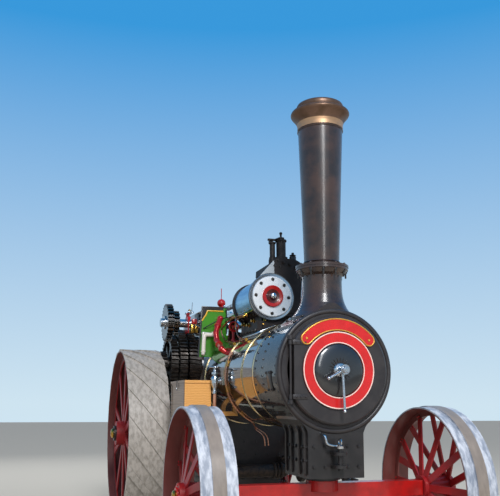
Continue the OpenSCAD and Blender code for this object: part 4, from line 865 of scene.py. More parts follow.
class ENGINE_OT_cylinder_fittings(bpy.types.Operator):
    """Fits the cylinder's cover, boss, nuts, cocks, lubricator, lever and whistle"""

    bl_idname = "engine.cylinder_fittings"
    bl_label = "Cylinder fittings"

    def execute(self, context):
        # The cylinder's front, tilted with its bore
        front = (Matrix.Translation((COVER[0].x + 0.0045, AXIS_Y, AXIS_Z))
                 @ Matrix.Rotation(-BORE_TILT, 4, "Y"))

        def fit(piece, name, material):
            """Dresses a piece that was made around the bore's line."""
            piece.data.transform(front)
            dress(piece, name, material)

        disc = turned([(-0.0045, 0.02), (-0.0045, 0.1745), (0.0155, 0.1745), (0.0195, 0.169),
                       (0.0195, 0.02), (-0.0045, 0.02)], axis="X", steps=96)
        fit(disc, "cover_disc", "bright_face")
        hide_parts("cylinder_cover")
        boss = turned([(0.018, 0.012), (0.018, 0.0925), (0.034, 0.0925), (0.0385, 0.088),
                       (0.037, 0.074), (0.026, 0.052), (0.0235, 0.03), (0.0235, 0.012),
                       (0.018, 0.012)], axis="X", steps=64)
        fit(boss, "cover_red_boss", "boss")
        knob = turned([(0.022, 0), (0.022, 0.0275), (0.044, 0.0275), (0.053, 0.024),
                       (0.059, 0.014), (0.061, 0)], axis="X")
        fit(knob, "cover_centre_nut", "steel")
        nuts = around((0.0195, 0, 0), 0.147, 8, start=2)
        fit(scatter(bolt(0.0105, 1.0), nuts), "cover_nuts", "gear")
        studs = [((0.0, -0.075 - AXIS_Y + dy, 0.322 + dz), FORE)
                 for dy, dz in ((0, 0), (-0.028, -0.05), (0.02, -0.055))]
        fit(scatter(bolt(0.008, 0.8), studs), "ear_bolts", "gear")
        edge = turned([(-0.0005, 0.178), (0.0015, 0.18), (0.0015, 0.197), (-0.0005, 0.1995),
                       (-0.0005, 0.178)], axis="X", steps=96)
        fit(edge, "flange_bright_face", "steel")

        # Screws along the lagging's lower seam, and the drain cocks under it
        out = ray(radians(-118))
        screws = [(Vector((x, 0, 0)) + out * 0.1865, out)
                  for x in (-0.45, -0.35, -0.25, -0.15, -0.06)]
        fit(scatter(rivet(0.0055), screws), "lagging_screws", "brass")
        cocks = []
        for x in (-0.06, -0.44):
            stem = turned([(0, 0), (0, 0.012), (0.05, 0.012), (0.056, 0.02), (0.078, 0.02),
                           (0.084, 0.01), (0.12, 0.01), (0.12, 0)], steps=16)
            stem.data.transform(Matrix.Translation((x, -0.04, -0.175))
                                @ Matrix.Rotation(pi * 0.93, 4, "X"))
            handle = tube([(x, -0.055, -0.24), (x + 0.03, -0.075, -0.243),
                           (x + 0.07, -0.08, -0.238)], 0.005)
            cocks += [stem, handle]
        fit(joined(*cocks), "drain_cocks", "brass")

        # A displacement lubricator on the block's top
        lubricator = turned([(0, 0), (0, 0.016), (0.03, 0.016), (0.034, 0.03), (0.09, 0.03),
                             (0.096, 0.024), (0.104, 0.03), (0.112, 0.012), (0.126, 0.012),
                             (0.13, 0)], (1.08, 0.1, 2.425), steps=24)
        dress(lubricator, "cylinder_lubricator", "black", slot="brown_paint")

        # Bolt rows along the valve chest's front edge
        chest = row((1.1745, -0.02, 2.44), (1.1745, 0.1, 2.41), 0.05, FORE)
        chest += row((1.1765, 0.17, 2.3), (1.182, 0.17, 2.08), 0.06, FORE)
        dress(scatter(bolt(0.011), chest), "valve_chest_bolts", "chest")
        lever = tube([(0.99, -0.077, 2.664), (1.03, -0.06, 2.668), (1.12, -0.03, 2.672)], 0.006)
        weight = turned([(0, 0), (0, 0.014), (0.034, 0.014), (0.036, 0)],
                        (0.985, -0.078, 2.64), "Z", 16)
        dress(joined(lever, weight), "safety_valve_lever", "black")
        whistle = turned([(0, 0), (0, 0.012), (0.05, 0.012), (0.055, 0.02), (0.06, 0.02),
                          (0.062, 0.014), (0.074, 0.014), (0.076, 0.02), (0.14, 0.02),
                          (0.152, 0.012), (0.156, 0.005), (0.168, 0.006), (0.17, 0)],
                         (0.87, 0.07, 2.405), steps=24)
        dress(whistle, "steam_whistle", "brass")
        return {"FINISHED"}


class ENGINE_OT_lining(bpy.types.Operator):
    """Paints the yellow lining and fits the black and brass beading"""

    bl_idname = "engine.lining"
    bl_label = "Lining and beading"

    def execute(self, context):
        half = context.scene.engine_sizes.line_w / 2
        front, top, foot = PLATE[1].x + 0.0002, PLATE[1].z, PLATE[0].z
        # Half widths of the spectacle plate, at its foot and at its top
        wide, reach = 0.4955, 0.466
        slope = (wide - reach) / (top - foot)
        # The line leaves the top edge in a hollow curve and runs out to the plate's side
        hollow = ((0.056, 0.04), (0.05, 0.062), (0.038, 0.09), (0.02, 0.118), (0.008, 0.142))
        lines, borders = [], []
        for side, inner in ((-1, 0.25), (1, 0.165)):
            curve = [(side * (reach + slope * down - inward), top - down)
                     for inward, down in hollow]
            path = curve[::-1] + [(side * inner, top - 0.04)]
            lines.append(tube([(front, y, z) for y, z in path], half * 2.3, smooth=False))
            outline = [(side * wide, foot + 0.002), (side * reach, top - 0.001),
                       (side * inner, top - 0.001), (side * inner, top - 0.03)]
            outline += [(y - side * 0.002, z + 0.009) for y, z in curve]
            outline += [(side * (wide - 0.006), foot + 0.002)]
            borders.append(slab(outline, front - 0.001, front + 0.0012))
        dress(borders, "plate_black_border", "black")
        low, high = TENDER
        flanks = (((low.x + 0.04, 0.845), (low.x + 0.39, 1.235)),
                  ((low.x + 0.46, 0.845), (high.x - 0.05, 1.09)),
                  ((low.x + 0.04, 0.515), (high.x - 0.05, 0.765)))
        panels = [[(x, side * (high.y + 0.0002), z) for x, z in notched(*panel)]
                  for side in (-1, 1) for panel in flanks]
        for back in (((-0.5, 0.515), (0.5, 0.765)), ((-0.5, 0.845), (0.5, 1.235))):
            panels.append([(low.x - 0.0002, y, z) for y, z in notched(*back)])
        lines += [tube(panel, half, smooth=False, closed=True) for panel in panels]
        dress(lines, "yellow_lining", "lining")

        # Half-round beading along the plates' free edges
        x = (PLATE[0].x + PLATE[1].x) / 2
        beads = [tube([(x, side * wide, foot), (x, side * reach, top), (x, side * inner, top),
                       (x, side * inner, 1.915)], 0.0085, smooth=False)
                 for side, inner in ((-1, 0.216), (1, 0.127))]
        bead_r, edge_y = 0.013, high.y - 0.004
        coping = [tube([(high.x, y, 0.8), (high.x, y, 1.23), (-1.351, y, 1.25), (-1.551, y, 1.13),
                        (low.x + 0.49, y, 1.13), (low.x + 0.434, y, 1.28)], bead_r, smooth=False)
                  for y in (-edge_y, edge_y)]
        rim = [(low.x + dx, y, high.z) for dx, y in ((0.004, -edge_y), (0.426, -edge_y),
                                                     (0.426, edge_y), (0.004, edge_y))]
        coping.append(tube(rim, bead_r, smooth=False, closed=True))
        dress(beads, "plate_edge_beading", "black")
        dress(coping, "tender_beading", "brass")
        return {"FINISHED"}


class ENGINE_OT_plate_rivets(bpy.types.Operator):
    """Rivets the horn plates, tender and firebox and fits the bearing and perch bolts"""

    bl_idname = "engine.plate_rivets"
    bl_label = "Plate rivets"

    def execute(self, context):
        size = context.scene.engine_sizes
        gap = size.rivet_gap
        y, horn = HORN[0].y, []
        edge = [(-1.16, 0.6), (-0.94, 0.6), (-0.73, 0.925), (-0.01, 0.975)]
        for (x0, z0), (x1, z1) in zip(edge, edge[1:]):
            horn += row((x0, y, z0), (x1, y, z1), gap, RIGHT)[:-1]
        for x, z0, z1 in ((-0.01, 0.975, 1.44), (-1.165, 0.64, 1.23)):
            horn += row((x, y, z0), (x, y, z1), gap, RIGHT)
        for z in (1.06, 1.18, 1.3, 1.42):
            horn += row((-0.72, y, z), (-0.12, y, z), 0.12, RIGHT)
        horn += flip(horn)
        dress(scatter(rivet(size.rivet_r), horn), "horn_plate_rivets", "cladding")

        low, high = TENDER
        tender = []
        for z in (low.z + 0.022, 0.778, 0.82):
            tender += row((low.x + 0.02, low.y, z), (high.x - 0.02, low.y, z), gap, RIGHT)
        for x, z1 in ((low.x + 0.02, 1.52), (low.x + 0.41, 1.26), (high.x - 0.024, 1.2)):
            tender += row((x, low.y, 0.87), (x, low.y, z1), gap, RIGHT)
        tender += flip(tender)
        for z in (low.z + 0.022, 0.82, 1.53):
            tender += row((low.x, -0.53, z), (low.x, 0.53, z), gap, REAR)
        for y in (-0.538, 0.538):
            tender += row((low.x, y, 0.56), (low.x, y, 1.47), gap, REAR)
        dress(scatter(rivet(size.rivet_r), tender), "tender_rivets", "green")

        # Washout plugs in the firebox and horn plates
        profile = [(0, 0), (0, 0.043), (0.012, 0.05), (0.016, 0.05), (0.018, 0.03),
                   (0.028, 0.026), (0.028, 0)]
        plugs = [turned(profile, (x, side * 0.456, z), (0, side, 0), 28)
                 for side in (-1, 1) for x, z in ((-0.62, 1.0), (-0.12, 1.03))]
        dress(plugs, "washout_plugs", "brass")

        low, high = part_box("firebox")
        stays = []
        for x0, x1, z, pitch in ((-0.62, -0.1, 0.72, 0.104), (-0.62, -0.1, 0.84, 0.104),
                                 (-0.76, -0.05, 0.462, gap)):
            stays += row((x0, low.y, z), (x1, low.y, z), pitch, RIGHT)
        stays += flip(stays)
        for x, way, heights in ((low.x, REAR, (0.52, 0.66, 0.8, 0.94)),
                                (high.x, FORE, (0.5, 0.62, 0.74, 0.86, 0.98))):
            for z in heights:
                stays += row((x, -0.36, z), (x, 0.36, z), 0.12, way)
        dress(scatter(rivet(size.rivet_r), stays), "firebox_rivets", "black")

        # Bearing cap nuts and perch bolts
        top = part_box("crank_bearings")[1].z - 0.0005
        nuts = [((x, side * y, top), UP) for side in (-1, 1)
                for x in (CRANK_X - 0.066, CRANK_X + 0.066) for y in (0.415, 0.45)]
        dress(scatter(bolt(0.013, 1.1), nuts), "bearing_cap_nuts", "steel")
        perch = []
        for z in (0.84, 0.935):
            perch += row((1.72, -0.212, z), (2.1, -0.212, z), 0.0633, RIGHT)
        perch += flip(perch)
        x = PERCH[1].x - 0.108
        for z in (0.8, 0.94):
            perch += row((x, -0.17, z), (x, 0.17, z), 0.085, FORE)
        dress(scatter(bolt(0.011), perch), "perch_bolts", "black")
        return {"FINISHED"}


class ENGINE_OT_perch_fittings(bpy.types.Operator):
    """Fits the perch bracket's ribs and the towing pin with its ring and hook"""

    bl_idname = "engine.perch_fittings"
    bl_label = "Perch bracket fittings"

    def execute(self, context):
        ribs = []
        for side in (-1, 1):
            outline = [(side * y, z) for y, z in (
                (0.212, 0.74), (0.228, 0.75), (0.23, 1.03), (0.246, 1.068), (0.24, 1.08),
                (0.21, 1.04))]
            for x in (1.735, 1.84, 1.99, 2.095):
                ribs.append(slab(outline, x - 0.007, x + 0.007, 0.002))
        dress(ribs, "perch_ribs", "black")
        x = PERCH[1].x - 0.046
        head = turned([(0.928, 0), (0.928, 0.026), (0.945, 0.028), (0.952, 0.02), (0.952, 0)],
                      (x, 0, 0), "Z", 24)
        ring_r, ring_z = 0.022, 0.972
        angles = [2 * pi * i / 18 for i in range(18)]
        ring = tube([(x + ring_r * cos(a), 0.0, ring_z + ring_r * sin(a)) for a in angles],
                    0.0055, smooth=False, closed=True)
        stub = turned([(0.946, 0), (0.946, 0.011), (1.02, 0.011), (1.03, 0.007), (1.03, 0)],
                      (x - 0.08, -0.17, 0), "Z", 20)
        hook = tube([(x - 0.075, -0.12, 1.03), (x - 0.02, -0.11, 1.026), (x - 0.005, -0.105, 1.0),
                     (x - 0.005, -0.1, 0.96), (x - 0.008, -0.04, 0.945), (x - 0.008, 0, 0.945)],
                    0.009)
        dress(joined(head, ring, stub, hook), "towing_pin_head", "steel")
        return {"FINISHED"}


class ENGINE_OT_wheel_fittings(bpy.types.Operator):
    """Rivets the front wheels' spokes and fits the hub nuts and caps"""

    bl_idname = "engine.wheel_fittings"
    bl_label = "Wheel rivets and hub caps"

    def execute(self, context):
        for side, name in ((1, "left"), (-1, "right")):
            heads = []
            for i in range(20):
                # The spokes lean to each side in turn
                way = side * (-1) ** i
                a = radians(18 * i)
                out = Vector((sin(a), 0, cos(a)))
                on = out.cross(Vector((0, 1, 0)))
                foot = Vector((FRONT_X, side * FRONT_MID + way * 0.0165, FRONT_R))
                for across in (-0.013, 0.013):
                    heads.append((foot + out * (FRONT_R - 0.062) + on * across, (0, way, 0)))
            front, rear = f"front_wheel_{name}", f"rear_wheel_{name}"
            dress(scatter(rivet(0.0075), heads), f"{front}_spoke_rivets", "red", front)
            for wheel, x, y, z, radius, count, r in (
                (front, FRONT_X, FRONT_MID + 0.1305, FRONT_R, 0.068, 8, 0.009),
                (rear, REAR_X, REAR_WHEEL[1].y - 0.028, REAR_R, 0.1, 10, 0.014),
            ):
                nuts = around((x, side * y, z), radius, count, "Y", way=(0, side, 0))
                dress(scatter(bolt(r), nuts), f"{wheel}_hub_nuts", "red", wheel)

        # Domed brass caps over the axle ends
        front_y, rear_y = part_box("front_axle")[1].y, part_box("rear_axle")[1].y
        for side, name in ((-1, "right"), (1, "left")):
            cap = turned([(-0.004, 0), (-0.004, 0.034), (0.006, 0.036), (0.014, 0.03),
                          (0.02, 0.018), (0.022, 0)],
                         (FRONT_X, side * front_y, FRONT_R), (0, side, 0), 28)
            dress(cap, f"front_hub_cap_{name}", "brass", "front_axle")
            cap = turned([(-0.003, 0), (-0.003, 0.05), (0.008, 0.052), (0.02, 0.044),
                          (0.028, 0.026), (0.03, 0)],
                         (REAR_X, side * rear_y, REAR_R), (0, side, 0))
            dress(cap, f"rear_hub_cap_{name}", "brass")
        return {"FINISHED"}


class ENGINE_OT_toolbox_trim(bpy.types.Operator):
    """Fits the toolbox's plinth, mouldings, corner battens, lid straps and staple"""

    bl_idname = "engine.toolbox_trim"
    bl_label = "Toolbox trim"

    def execute(self, context):
        low, high = TOOLBOX
        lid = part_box("toolbox_lid")
        top, plinth, rail = lid[0].z, low.z + 0.026, low.z + 0.149
        mouldings = (
            (low.x - 0.006, low.y - 0.006, low.z - 0.004, high.x + 0.006, low.y, plinth, 0.003, 2),
            (high.x, low.y - 0.006, low.z - 0.004, high.x + 0.006, low.y + 0.24, plinth, 0.003, 2),
            (low.x, low.y - 0.004, rail, high.x + 0.004, low.y, rail + 0.012, 0.0015, 1),
            (high.x - 0.03, low.y - 0.005, plinth, high.x + 0.005, low.y, top - 0.004, 0.002, 1),
            (low.x, low.y - 0.005, plinth, low.x + 0.03, low.y, top - 0.004, 0.002, 1),
            (high.x, low.y - 0.005, plinth, high.x + 0.005, low.y + 0.026, top - 0.004, 0.002, 1),
        )
        rails = [block(m[:3], m[3:6], *m[6:]) for m in mouldings]
        dress(rails, "toolbox_mouldings", "wood")
        bars = []
        for x in (lid[0].x + 0.1, lid[1].x - 0.13):
            bars.append(block((x, lid[0].y + 0.012, lid[1].z),
                              (x + 0.03, lid[1].y - 0.035, lid[1].z + 0.003), 0.0012, 1))
        middle = (lid[0].x + lid[1].x) / 2
        bars.append(block((middle - 0.016, lid[0].y - 0.003, top - 0.028),
                          (middle + 0.016, lid[0].y, lid[1].z - 0.002), 0.001, 1))
        dress(bars, "toolbox_lid_straps", "black", "toolbox_lid")
        staple = tube([(middle, low.y - y, top - z) for y, z in (
            (0.002, 0.036), (0.014, 0.036), (0.014, 0.05), (0.002, 0.05))], 0.0032, smooth=False)
        dress(staple, "toolbox_staple", "steel")
        return {"FINISHED"}


class ENGINE_OT_pipes(bpy.types.Operator):
    """Runs the small pipes and rods with their unions and fits the saddle's small fittings"""

    bl_idname = "engine.pipes"
    bl_label = "Small pipes and unions"

    def execute(self, context):
        r = context.scene.engine_sizes.pipe_r
        # The cylinder's drain pipes pass round the cladding and open under the boiler
        clip_r = CLAD_R + 0.0095
        drain = [(0.8, -clip_r * sin(a), BOILER_Z + clip_r * cos(a))
                 for a in map(radians, range(60, 157, 8))]
        bends = len(drain)
        drain += [(0.86, -0.185, 1.045), (0.93, -0.16, 1.012), (0.985, -0.125, 0.985),
                  (1.0, -0.104, 0.945), (1.0, -0.1, 0.88)]
        routes = (
            # Oil pipe from the box on the horn plate to the back of the spectacle plate
            ((-0.3, -0.475, 2.0), (-0.15, -0.485, 2.015), (-0.02, -0.48, 2.0),
             (0.064, -0.46, 1.96)),
            # Two looped pipes from the cylinder's oil cock to the slide bars and the cladding
            ((1.0, -0.3, 1.998), (0.8, -0.299, 2.011), (0.5, -0.282, 2.02), (0.3, -0.281, 1.998),
             (0.2, -0.3, 1.953), (0.2, -0.3, 1.913), (0.21, -0.28, 1.862), (0.3, -0.28, 1.816),
             (0.48, -0.29, 1.802), (0.73, -0.327, 1.764)),
            ((1.0, -0.3, 1.99), (0.75, -0.285, 2.0), (0.6, -0.274, 1.993), (0.55, -0.263, 1.956),
             (0.55, -0.255, 1.9), (0.62, -0.262, 1.85), (0.69, -0.268, 1.824),
             (0.85, -0.29, 1.796), (1.045, -0.317, 1.776)),
            # Pressure gauge pipe on the backhead
            ((-0.838, -0.24, 1.4), (-0.85, -0.235, 1.36), (-0.842, -0.2, 1.33),
             (-0.83, -0.17, 1.34), (-0.828, -0.16, 1.38)),
        )
        pipes = [tube(route, r) for route in routes]
        for gap, spread in ((0.0, 0.0), (0.026, 0.04)):
            pipes.append(tube([(x + gap, y - spread * (i > bends), z)
                               for i, (x, y, z) in enumerate(drain)], 0.0042))
        dress(pipes, "small_copper_pipes", "copper")
        cock = turned([(-0.03, 0), (-0.03, 0.009), (-0.018, 0.009), (-0.016, 0.02), (0, 0.025),
                       (0.014, 0.022), (0.018, 0.012), (0.034, 0.012), (0.038, 0.006),
                       (0.05, 0)], (1.0, -0.299, 2.0), (0, -0.776, -0.631), 20)
        dress(cock, "cylinder_oil_cock", "brass")
        profile = [(-0.004, 0), (-0.004, 1.9 * r), (0.006, 1.9 * r), (0.008, 1.5 * r),
                   (0.02, 1.5 * r), (0.022, 0)]
        unions = [turned(profile, end, Vector(after) - Vector(end), 6)
                  for route in routes for end, after in (route[:2], route[:-3:-1])]
        dress(unions, "pipe_unions", "brass")
        clips = []
        for a in (-75, -105, -140):
            out = ray(radians(a))
            base = Vector((0.8175, 0, BOILER_Z)) + out * (CLAD_R + 0.0005)
            clip = block((-0.03, -0.007, -0.004), (0.03, 0.007, 0.0165), 0.003, 1)
            clip.data.transform(Matrix.Translation(base) @ facing(out)
                                @ Matrix.Rotation(pi / 2, 4, "Z"))
            clips.append(clip)
        dress(clips, "drain_pipe_clips", "brass")

        # A bright steam pipe bends down in front of the chest to the barrel
        steam = tube([(1.172, 0.112, 2.4), (1.22, 0.112, 2.405), (1.28, 0.11, 2.39),
                      (1.3, 0.107, 2.33), (1.3, 0.098, 2.18), (1.3, 0.089, 2.05),
                      (1.29, 0.06, 1.985), (1.26, 0.0, 1.935), (1.2, -0.037, 1.905),
                      (1.17, -0.05, 1.88)], 0.0095)
        rod = tube([(-0.55, -0.418, 2.31), (-0.55, -0.424, 2.22), (-0.56, -0.43, 2.185)], 0.005)
        dress(joined(steam, rod), "bright_pipe_and_rod", "steel")

        # The cylinder saddle's bead along its foot, and the nuts and plugs on its right flank
        foot_y = 0.2655
        foot_z = BOILER_Z + sqrt(CLAD_R**2 - foot_y**2) + 0.0105
        bead = tube([(0.7, -foot_y, foot_z), (1.15, -foot_y, foot_z),
                     (1.17, -0.252, foot_z + 0.01), (1.176, -0.2, foot_z + 0.037),
                     (1.176, -0.1, foot_z + 0.075)], 0.011, sides=4)
        dress(bead, "saddle_foot_bead", "steel")
        flank = -0.2535
        nuts = row((0.72, flank, 1.85), (1.12, flank, 1.85), 0.08, RIGHT)
        nuts += row((0.76, flank, 1.985), (1.08, flank, 1.985), 0.16, RIGHT)
        dress(scatter(bolt(0.012, 0.9), nuts), "saddle_nuts", "gear")
        profile = [(-0.004, 0), (-0.004, 0.019), (0.008, 0.019), (0.01, 0.012), (0.03, 0.012),
                   (0.032, 0)]
        plugs = [turned(profile, (x, flank, z), RIGHT, 12)
                 for x, z in ((0.8, 1.93), (0.94, 1.91), (1.07, 1.935))]
        dress(plugs, "saddle_plugs", "brass")

        # The rod that crosses before the spectacle plate, and the shaft cap on the horn plate
        rod = tube([(0.086, -0.452, 1.962), (0.11, -0.44, 1.972), (0.14, -0.3, 2.052),
                    (0.2, -0.24, 2.07)], 0.0055)
        dress(rod, "cross_rod", "black")
        cap = block((-0.33, -0.482, 2.045), (-0.27, -0.408, 2.1), 0.008)
        dress(cap, "cross_shaft_cap", "red")

        # A sleeve and collars on the white elbow, and flanges on the red pipe
        collars = [collar(0.006, 0.0145, 0.025, at, way) for at, way in (
            ((0.119, -0.459, 1.735), "Z"), ((0.119, -0.37, 1.9055), "Y"))]
        sleeve = tube([(0.119, -0.374, 1.9), (0.119, -0.44, 1.9), (0.119, -0.456, 1.885),
                       (0.119, -0.459, 1.715)], 0.0195, sides=5)
        dress(joined(*collars, sleeve), "elbow_collars", "white", slot="copper_pipe")
        rings = [collar(0.009, 0.024, 0.0345, at, way, 32) for at, way in (
            ((0.197, -0.338, 1.981), (0.033, -0.03, -0.076)),
            ((0.315, -0.356, 1.788), (0.19, -0.03, -0.058)))]
        dress(rings, "red_pipe_flanges", "red")

        # The red hand ring of a small valve, on its stand
        hub, hub_r = Vector((0.39, -0.232, 1.957)), 0.044
        ring = hoop(hub, hub_r, 0.0085, 24)
        spokes = [tube([hub + ray(t) * hub_r, hub - ray(t) * hub_r], 0.0045)
                  for t in (0.5, 2.1, 3.7)]
        stand = turned([(0, 0), (0, 0.022), (0.012, 0.02), (0.02, 0.011), (0.13, 0.011),
                        (0.134, 0)], (0.37, -0.232, BOILER_Z + CLAD_R - 0.072), "Z", 20)
        stem = turned([(-0.03, 0), (-0.03, 0.013), (0.006, 0.013), (0.01, 0.008), (0.018, 0)],
                      hub, "X", 16)
        dress(joined(ring, *spokes, stand, stem), "red_hand_ring", "red")

        # Oil box on the right horn plate, with its lid
        box = block((-0.37, -0.492, 1.955), (-0.27, -0.456, 2.03), 0.006)
        lid = block((-0.375, -0.497, 2.028), (-0.265, -0.452, 2.037), 0.003)
        dress(joined(box, lid), "oil_box", "brass")
        return {"FINISHED"}


class ENGINE_OT_motion_fittings(bpy.types.Operator):
    """Fits oil cups and nuts to the motion"""

    bl_idname = "engine.motion_fittings"
    bl_label = "Motion fittings"

    def execute(self, context):
        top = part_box("crank_bearings")[1].z
        cups = [((CRANK_X, y, top), UP) for y in (-0.432, 0.432)]
        dress(scatter(oil_cup(0.014), cups), "bearing_oil_cups", "brass")
        cup = [((CRANK_X, AXIS_Y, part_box("connecting_rod")[1].z - 0.002), UP)]
        dress(scatter(oil_cup(0.011), cup), "big_end_oil_cup", "brass", "connecting_rod")
        low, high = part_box("slide_bars")
        nuts = [((low.x + 0.025, y, high.z - 0.004), UP) for y in (low.y + 0.02, high.y - 0.02)]
        dress(scatter(bolt(0.009), nuts), "slide_bar_nuts", "steel")
        return {"FINISHED"}


class ENGINE_OT_backhead(bpy.types.Operator):
    """Fits the gauge's face, glass tubes, valve wheels and the footplate's boards"""

    bl_idname = "engine.backhead"
    bl_label = "Backhead and footplate"

    def execute(self, context):
        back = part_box("firehole_door")[1].x
        centre, rear = Vector((back - 0.0625, -0.24, 1.47)), Vector(REAR)
        face = turned([(0, 0), (0, 0.066), (0.0008, 0.066), (0.001, 0)], centre, rear, 48)
        dress(face, "gauge_face", "white", slot="band_brass")
        dial = centre + rear * 0.0012
        marks = []
        for i in range(25):
            long = 0.007 if i % 4 else 0.012
            out = ray(radians(-135 + 270 * i / 24))
            marks.append(tube([dial + out * (0.06 - long), dial + out * 0.06], 0.0009,
                              smooth=False, sides=1))
        pivot, out = centre + rear * 0.003, ray(radians(-128))
        marks.append(tube([pivot - out * 0.014, pivot + out * 0.05], 0.0015, smooth=False))
        marks.append(turned([(0, 0), (0, 0.006), (0.005, 0.005), (0.006, 0)], centre, rear, 16))
        dress(marks, "gauge_marks_and_hand", "black")
        rim = turned([(-0.004, 0.066), (-0.004, 0.0785), (0.003, 0.0785), (0.006, 0.074),
                      (0.003, 0.066), (-0.004, 0.066)], centre, rear, 48)
        dress(rim, "gauge_rim", "brass")

        # Each gauge glass has two guard rods, and a cock with its wheel at each end
        guards, wheels = [], []
        for y in (0.21, 0.262):
            for side_y in (y - 0.014, y + 0.014):
                rod_x = back - 0.064
                guards.append(tube([(rod_x, side_y, 1.348), (rod_x, side_y, 1.522)], 0.0022))
            for z in (1.33, 1.54):
                wheels.append(tube([(back - 0.046, y, z), (back - 0.075, y, z)], 0.004))
                wheels.append(hoop(Vector((back - 0.075, y, z)), 0.017, 0.0032, 12))
        dress(joined(*guards, *wheels), "gauge_glass_cocks", "brass")

        # The fire-hole door's hinge straps and latch
        hinges, nails = [], []
        door_z, strap_x = 1.18, back - 0.024
        for z in (door_z - 0.06, door_z + 0.06):
            hinges.append(block((strap_x, -0.15, z - 0.013), (back - 0.017, 0.08, z + 0.013),
                                0.002))
            nails += row((strap_x, -0.08, z), (strap_x, 0.06, z), 0.047, REAR)
        latch = tube([(back - 0.018, 0.1, door_z), (back - 0.05, 0.11, door_z),
                      (back - 0.07, 0.15, door_z), (back - 0.07, 0.2, door_z + 0.01)], 0.008)
        dress(joined(*hinges, latch), "firehole_door_straps", "black", "firehole_door")
        dress(scatter(rivet(0.007), nails), "firehole_door_rivets", "black", "firehole_door")

        low, high, count, width = TENDER[0].x + 0.45, TENDER[1].x - 0.012, 7, 1.08
        pitch = width / count
        boards = []
        for i in range(count):
            y = i * pitch - width / 2
            boards.append(block((low, y + 0.003, 0.8), (high, y + pitch - 0.003, 0.8055),
                                0.002, 1))
        dress(boards, "footplate_tread", "black", slot="green_paint")
        return {"FINISHED"}


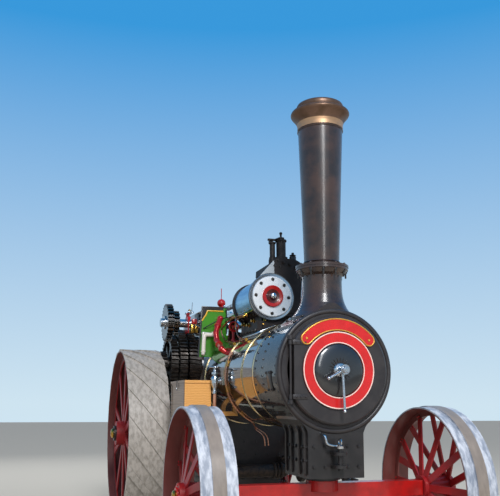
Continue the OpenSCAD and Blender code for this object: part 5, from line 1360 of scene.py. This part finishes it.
class ENGINE_OT_stage(bpy.types.Operator):
    """Sets the floor, the soft light and the camera at the photograph's angle"""

    bl_idname = "engine.stage"
    bl_label = "Floor, light and camera"

    def execute(self, context):
        # The camera fitted to the photograph, in metres and in pixels of its 500 x 496 frame
        eye = Vector((6.6327, -2.0988, 1.2323))
        ahead = Vector((-0.9453, 0.2917, 0.1459)).normalized()
        roll = 0.0047
        focal_px, middle_px, horizon_px = 689.13, 239.92, 302.09
        wide, high = 500, 496
        lens = bpy.data.cameras.new("camera")
        lens.sensor_width = 36
        lens.lens = focal_px / wide * lens.sensor_width
        lens.shift_x = (wide / 2 - middle_px) / wide
        lens.shift_y = (horizon_px - high / 2) / wide
        lens.clip_end = 200
        camera = bpy.data.objects.new("camera", lens)
        camera.location = eye
        look = ahead.to_track_quat("-Z", "Y").to_matrix() @ Matrix.Rotation(roll, 3, "Z")
        camera.rotation_euler = look.to_euler()
        context.collection.objects.link(camera)
        context.scene.camera = camera

        bpy.ops.mesh.primitive_plane_add(size=80, location=(0, 0, -0.001))
        floor = context.object
        floor.name = "floor"
        pale, _, _ = new_material(
            "pale_floor", {"Base Color": (*shade("#c2beb5"), 1), "Roughness": 0.9})
        floor.data.materials.append(pale)

        world = bpy.data.worlds.new("soft_sky")
        world.use_nodes = True
        tree = world.node_tree
        lit = tree.nodes["Background"]
        lit.inputs["Color"].default_value = (0.93, 0.96, 1.0, 1)
        lit.inputs["Strength"].default_value = 0.62
        # The sky pales towards the horizon. Only the camera and mirror images see it
        place = add_node(tree, "ShaderNodeTexCoord").outputs["Generated"]
        parts = add_node(tree, "ShaderNodeSeparateXYZ", None, {0: place}).outputs
        sky = blend(tree, ranged(tree, parts["Z"], 0.0, 0.5), shade("#d3e9f6"), shade("#3b9ce0"))
        shown = add_node(tree, "ShaderNodeBackground", {"Strength": 0.95}, {"Color": sky})
        path = add_node(tree, "ShaderNodeLightPath").outputs
        seen = add_node(tree, "ShaderNodeMath", {"operation": "MAXIMUM"},
                        {0: path["Is Camera Ray"], 1: path["Is Glossy Ray"]})
        mixed = add_node(tree, "ShaderNodeMixShader", None,
                         {0: seen.outputs[0], 1: lit.outputs[0], 2: shown.outputs[0]})
        tree.links.new(mixed.outputs[0], tree.nodes["World Output"].inputs["Surface"])
        context.scene.world = world

        # The tall strip lays the long soft streak down the chimney. The fill and back lights
        # only lift the shade: their mirror images would hide the sky in the cladding
        strip_h = 5.0
        for name, shape, place, size, power, mirrored in (
            ("key_light", "DISK", (9.5, -1.2, 7.8), 3.0, 720, True),
            ("strip_light", "RECTANGLE", (9.5, -1.0, 5.0), 1.2, 140, True),
            ("fill_light", "DISK", (3.0, 8.0, 4.5), 5.0, 160, False),
            ("back_light", "DISK", (-8.0, -2.0, 6.0), 5.0, 200, False),
        ):
            lamp = bpy.data.lights.new(name, "AREA")
            lamp.shape = shape
            lamp.size = size
            lamp.size_y = strip_h
            lamp.energy = power
            lamp_object = bpy.data.objects.new(name, lamp)
            lamp_object.location = place
            aim = Vector((0.3, 0, 1.5)) - Vector(place)
            lamp_object.rotation_euler = aim.to_track_quat("-Z", "Y").to_euler()
            lamp_object.visible_glossy = mirrored
            context.collection.objects.link(lamp_object)
        context.scene.view_settings.view_transform = "Standard"
        return {"FINISHED"}


class ENGINE_PT_panel(bpy.types.Panel):
    """Lists the engine's sizes, colours and making steps"""

    bl_label = "Steam traction engine"
    bl_idname = "ENGINE_PT_panel"
    bl_space_type = "VIEW_3D"
    bl_region_type = "UI"
    bl_category = "Engine"

    def draw(self, context):
        for group in (context.scene.engine_sizes, context.scene.engine_paints):
            for key in type(group).__annotations__:
                self.layout.prop(group, key)
        for step in STEPS:
            self.layout.operator(step.bl_idname)


STEPS = (
    ENGINE_OT_stage,
    ENGINE_OT_finishes,
    ENGINE_OT_smokebox_trim,
    ENGINE_OT_door_fittings,
    ENGINE_OT_chimney_trim,
    ENGINE_OT_cylinder_fittings,
    ENGINE_OT_lining,
    ENGINE_OT_plate_rivets,
    ENGINE_OT_perch_fittings,
    ENGINE_OT_wheel_fittings,
    ENGINE_OT_toolbox_trim,
    ENGINE_OT_pipes,
    ENGINE_OT_motion_fittings,
    ENGINE_OT_backhead,
)
CLASSES = (EnginePaints, EngineSizes, *STEPS, ENGINE_PT_panel)


def register():
    for kind in CLASSES:
        bpy.utils.register_class(kind)
    bpy.types.Scene.engine_paints = bpy.props.PointerProperty(type=EnginePaints)
    bpy.types.Scene.engine_sizes = bpy.props.PointerProperty(type=EngineSizes)


def unregister():
    del bpy.types.Scene.engine_sizes
    del bpy.types.Scene.engine_paints
    for kind in reversed(CLASSES):
        bpy.utils.unregister_class(kind)


def main():
    register()
    for step in STEPS:
        group, verb = step.bl_idname.split(".")
        getattr(getattr(bpy.ops, group), verb)()


if __name__ == "__main__":
    main()
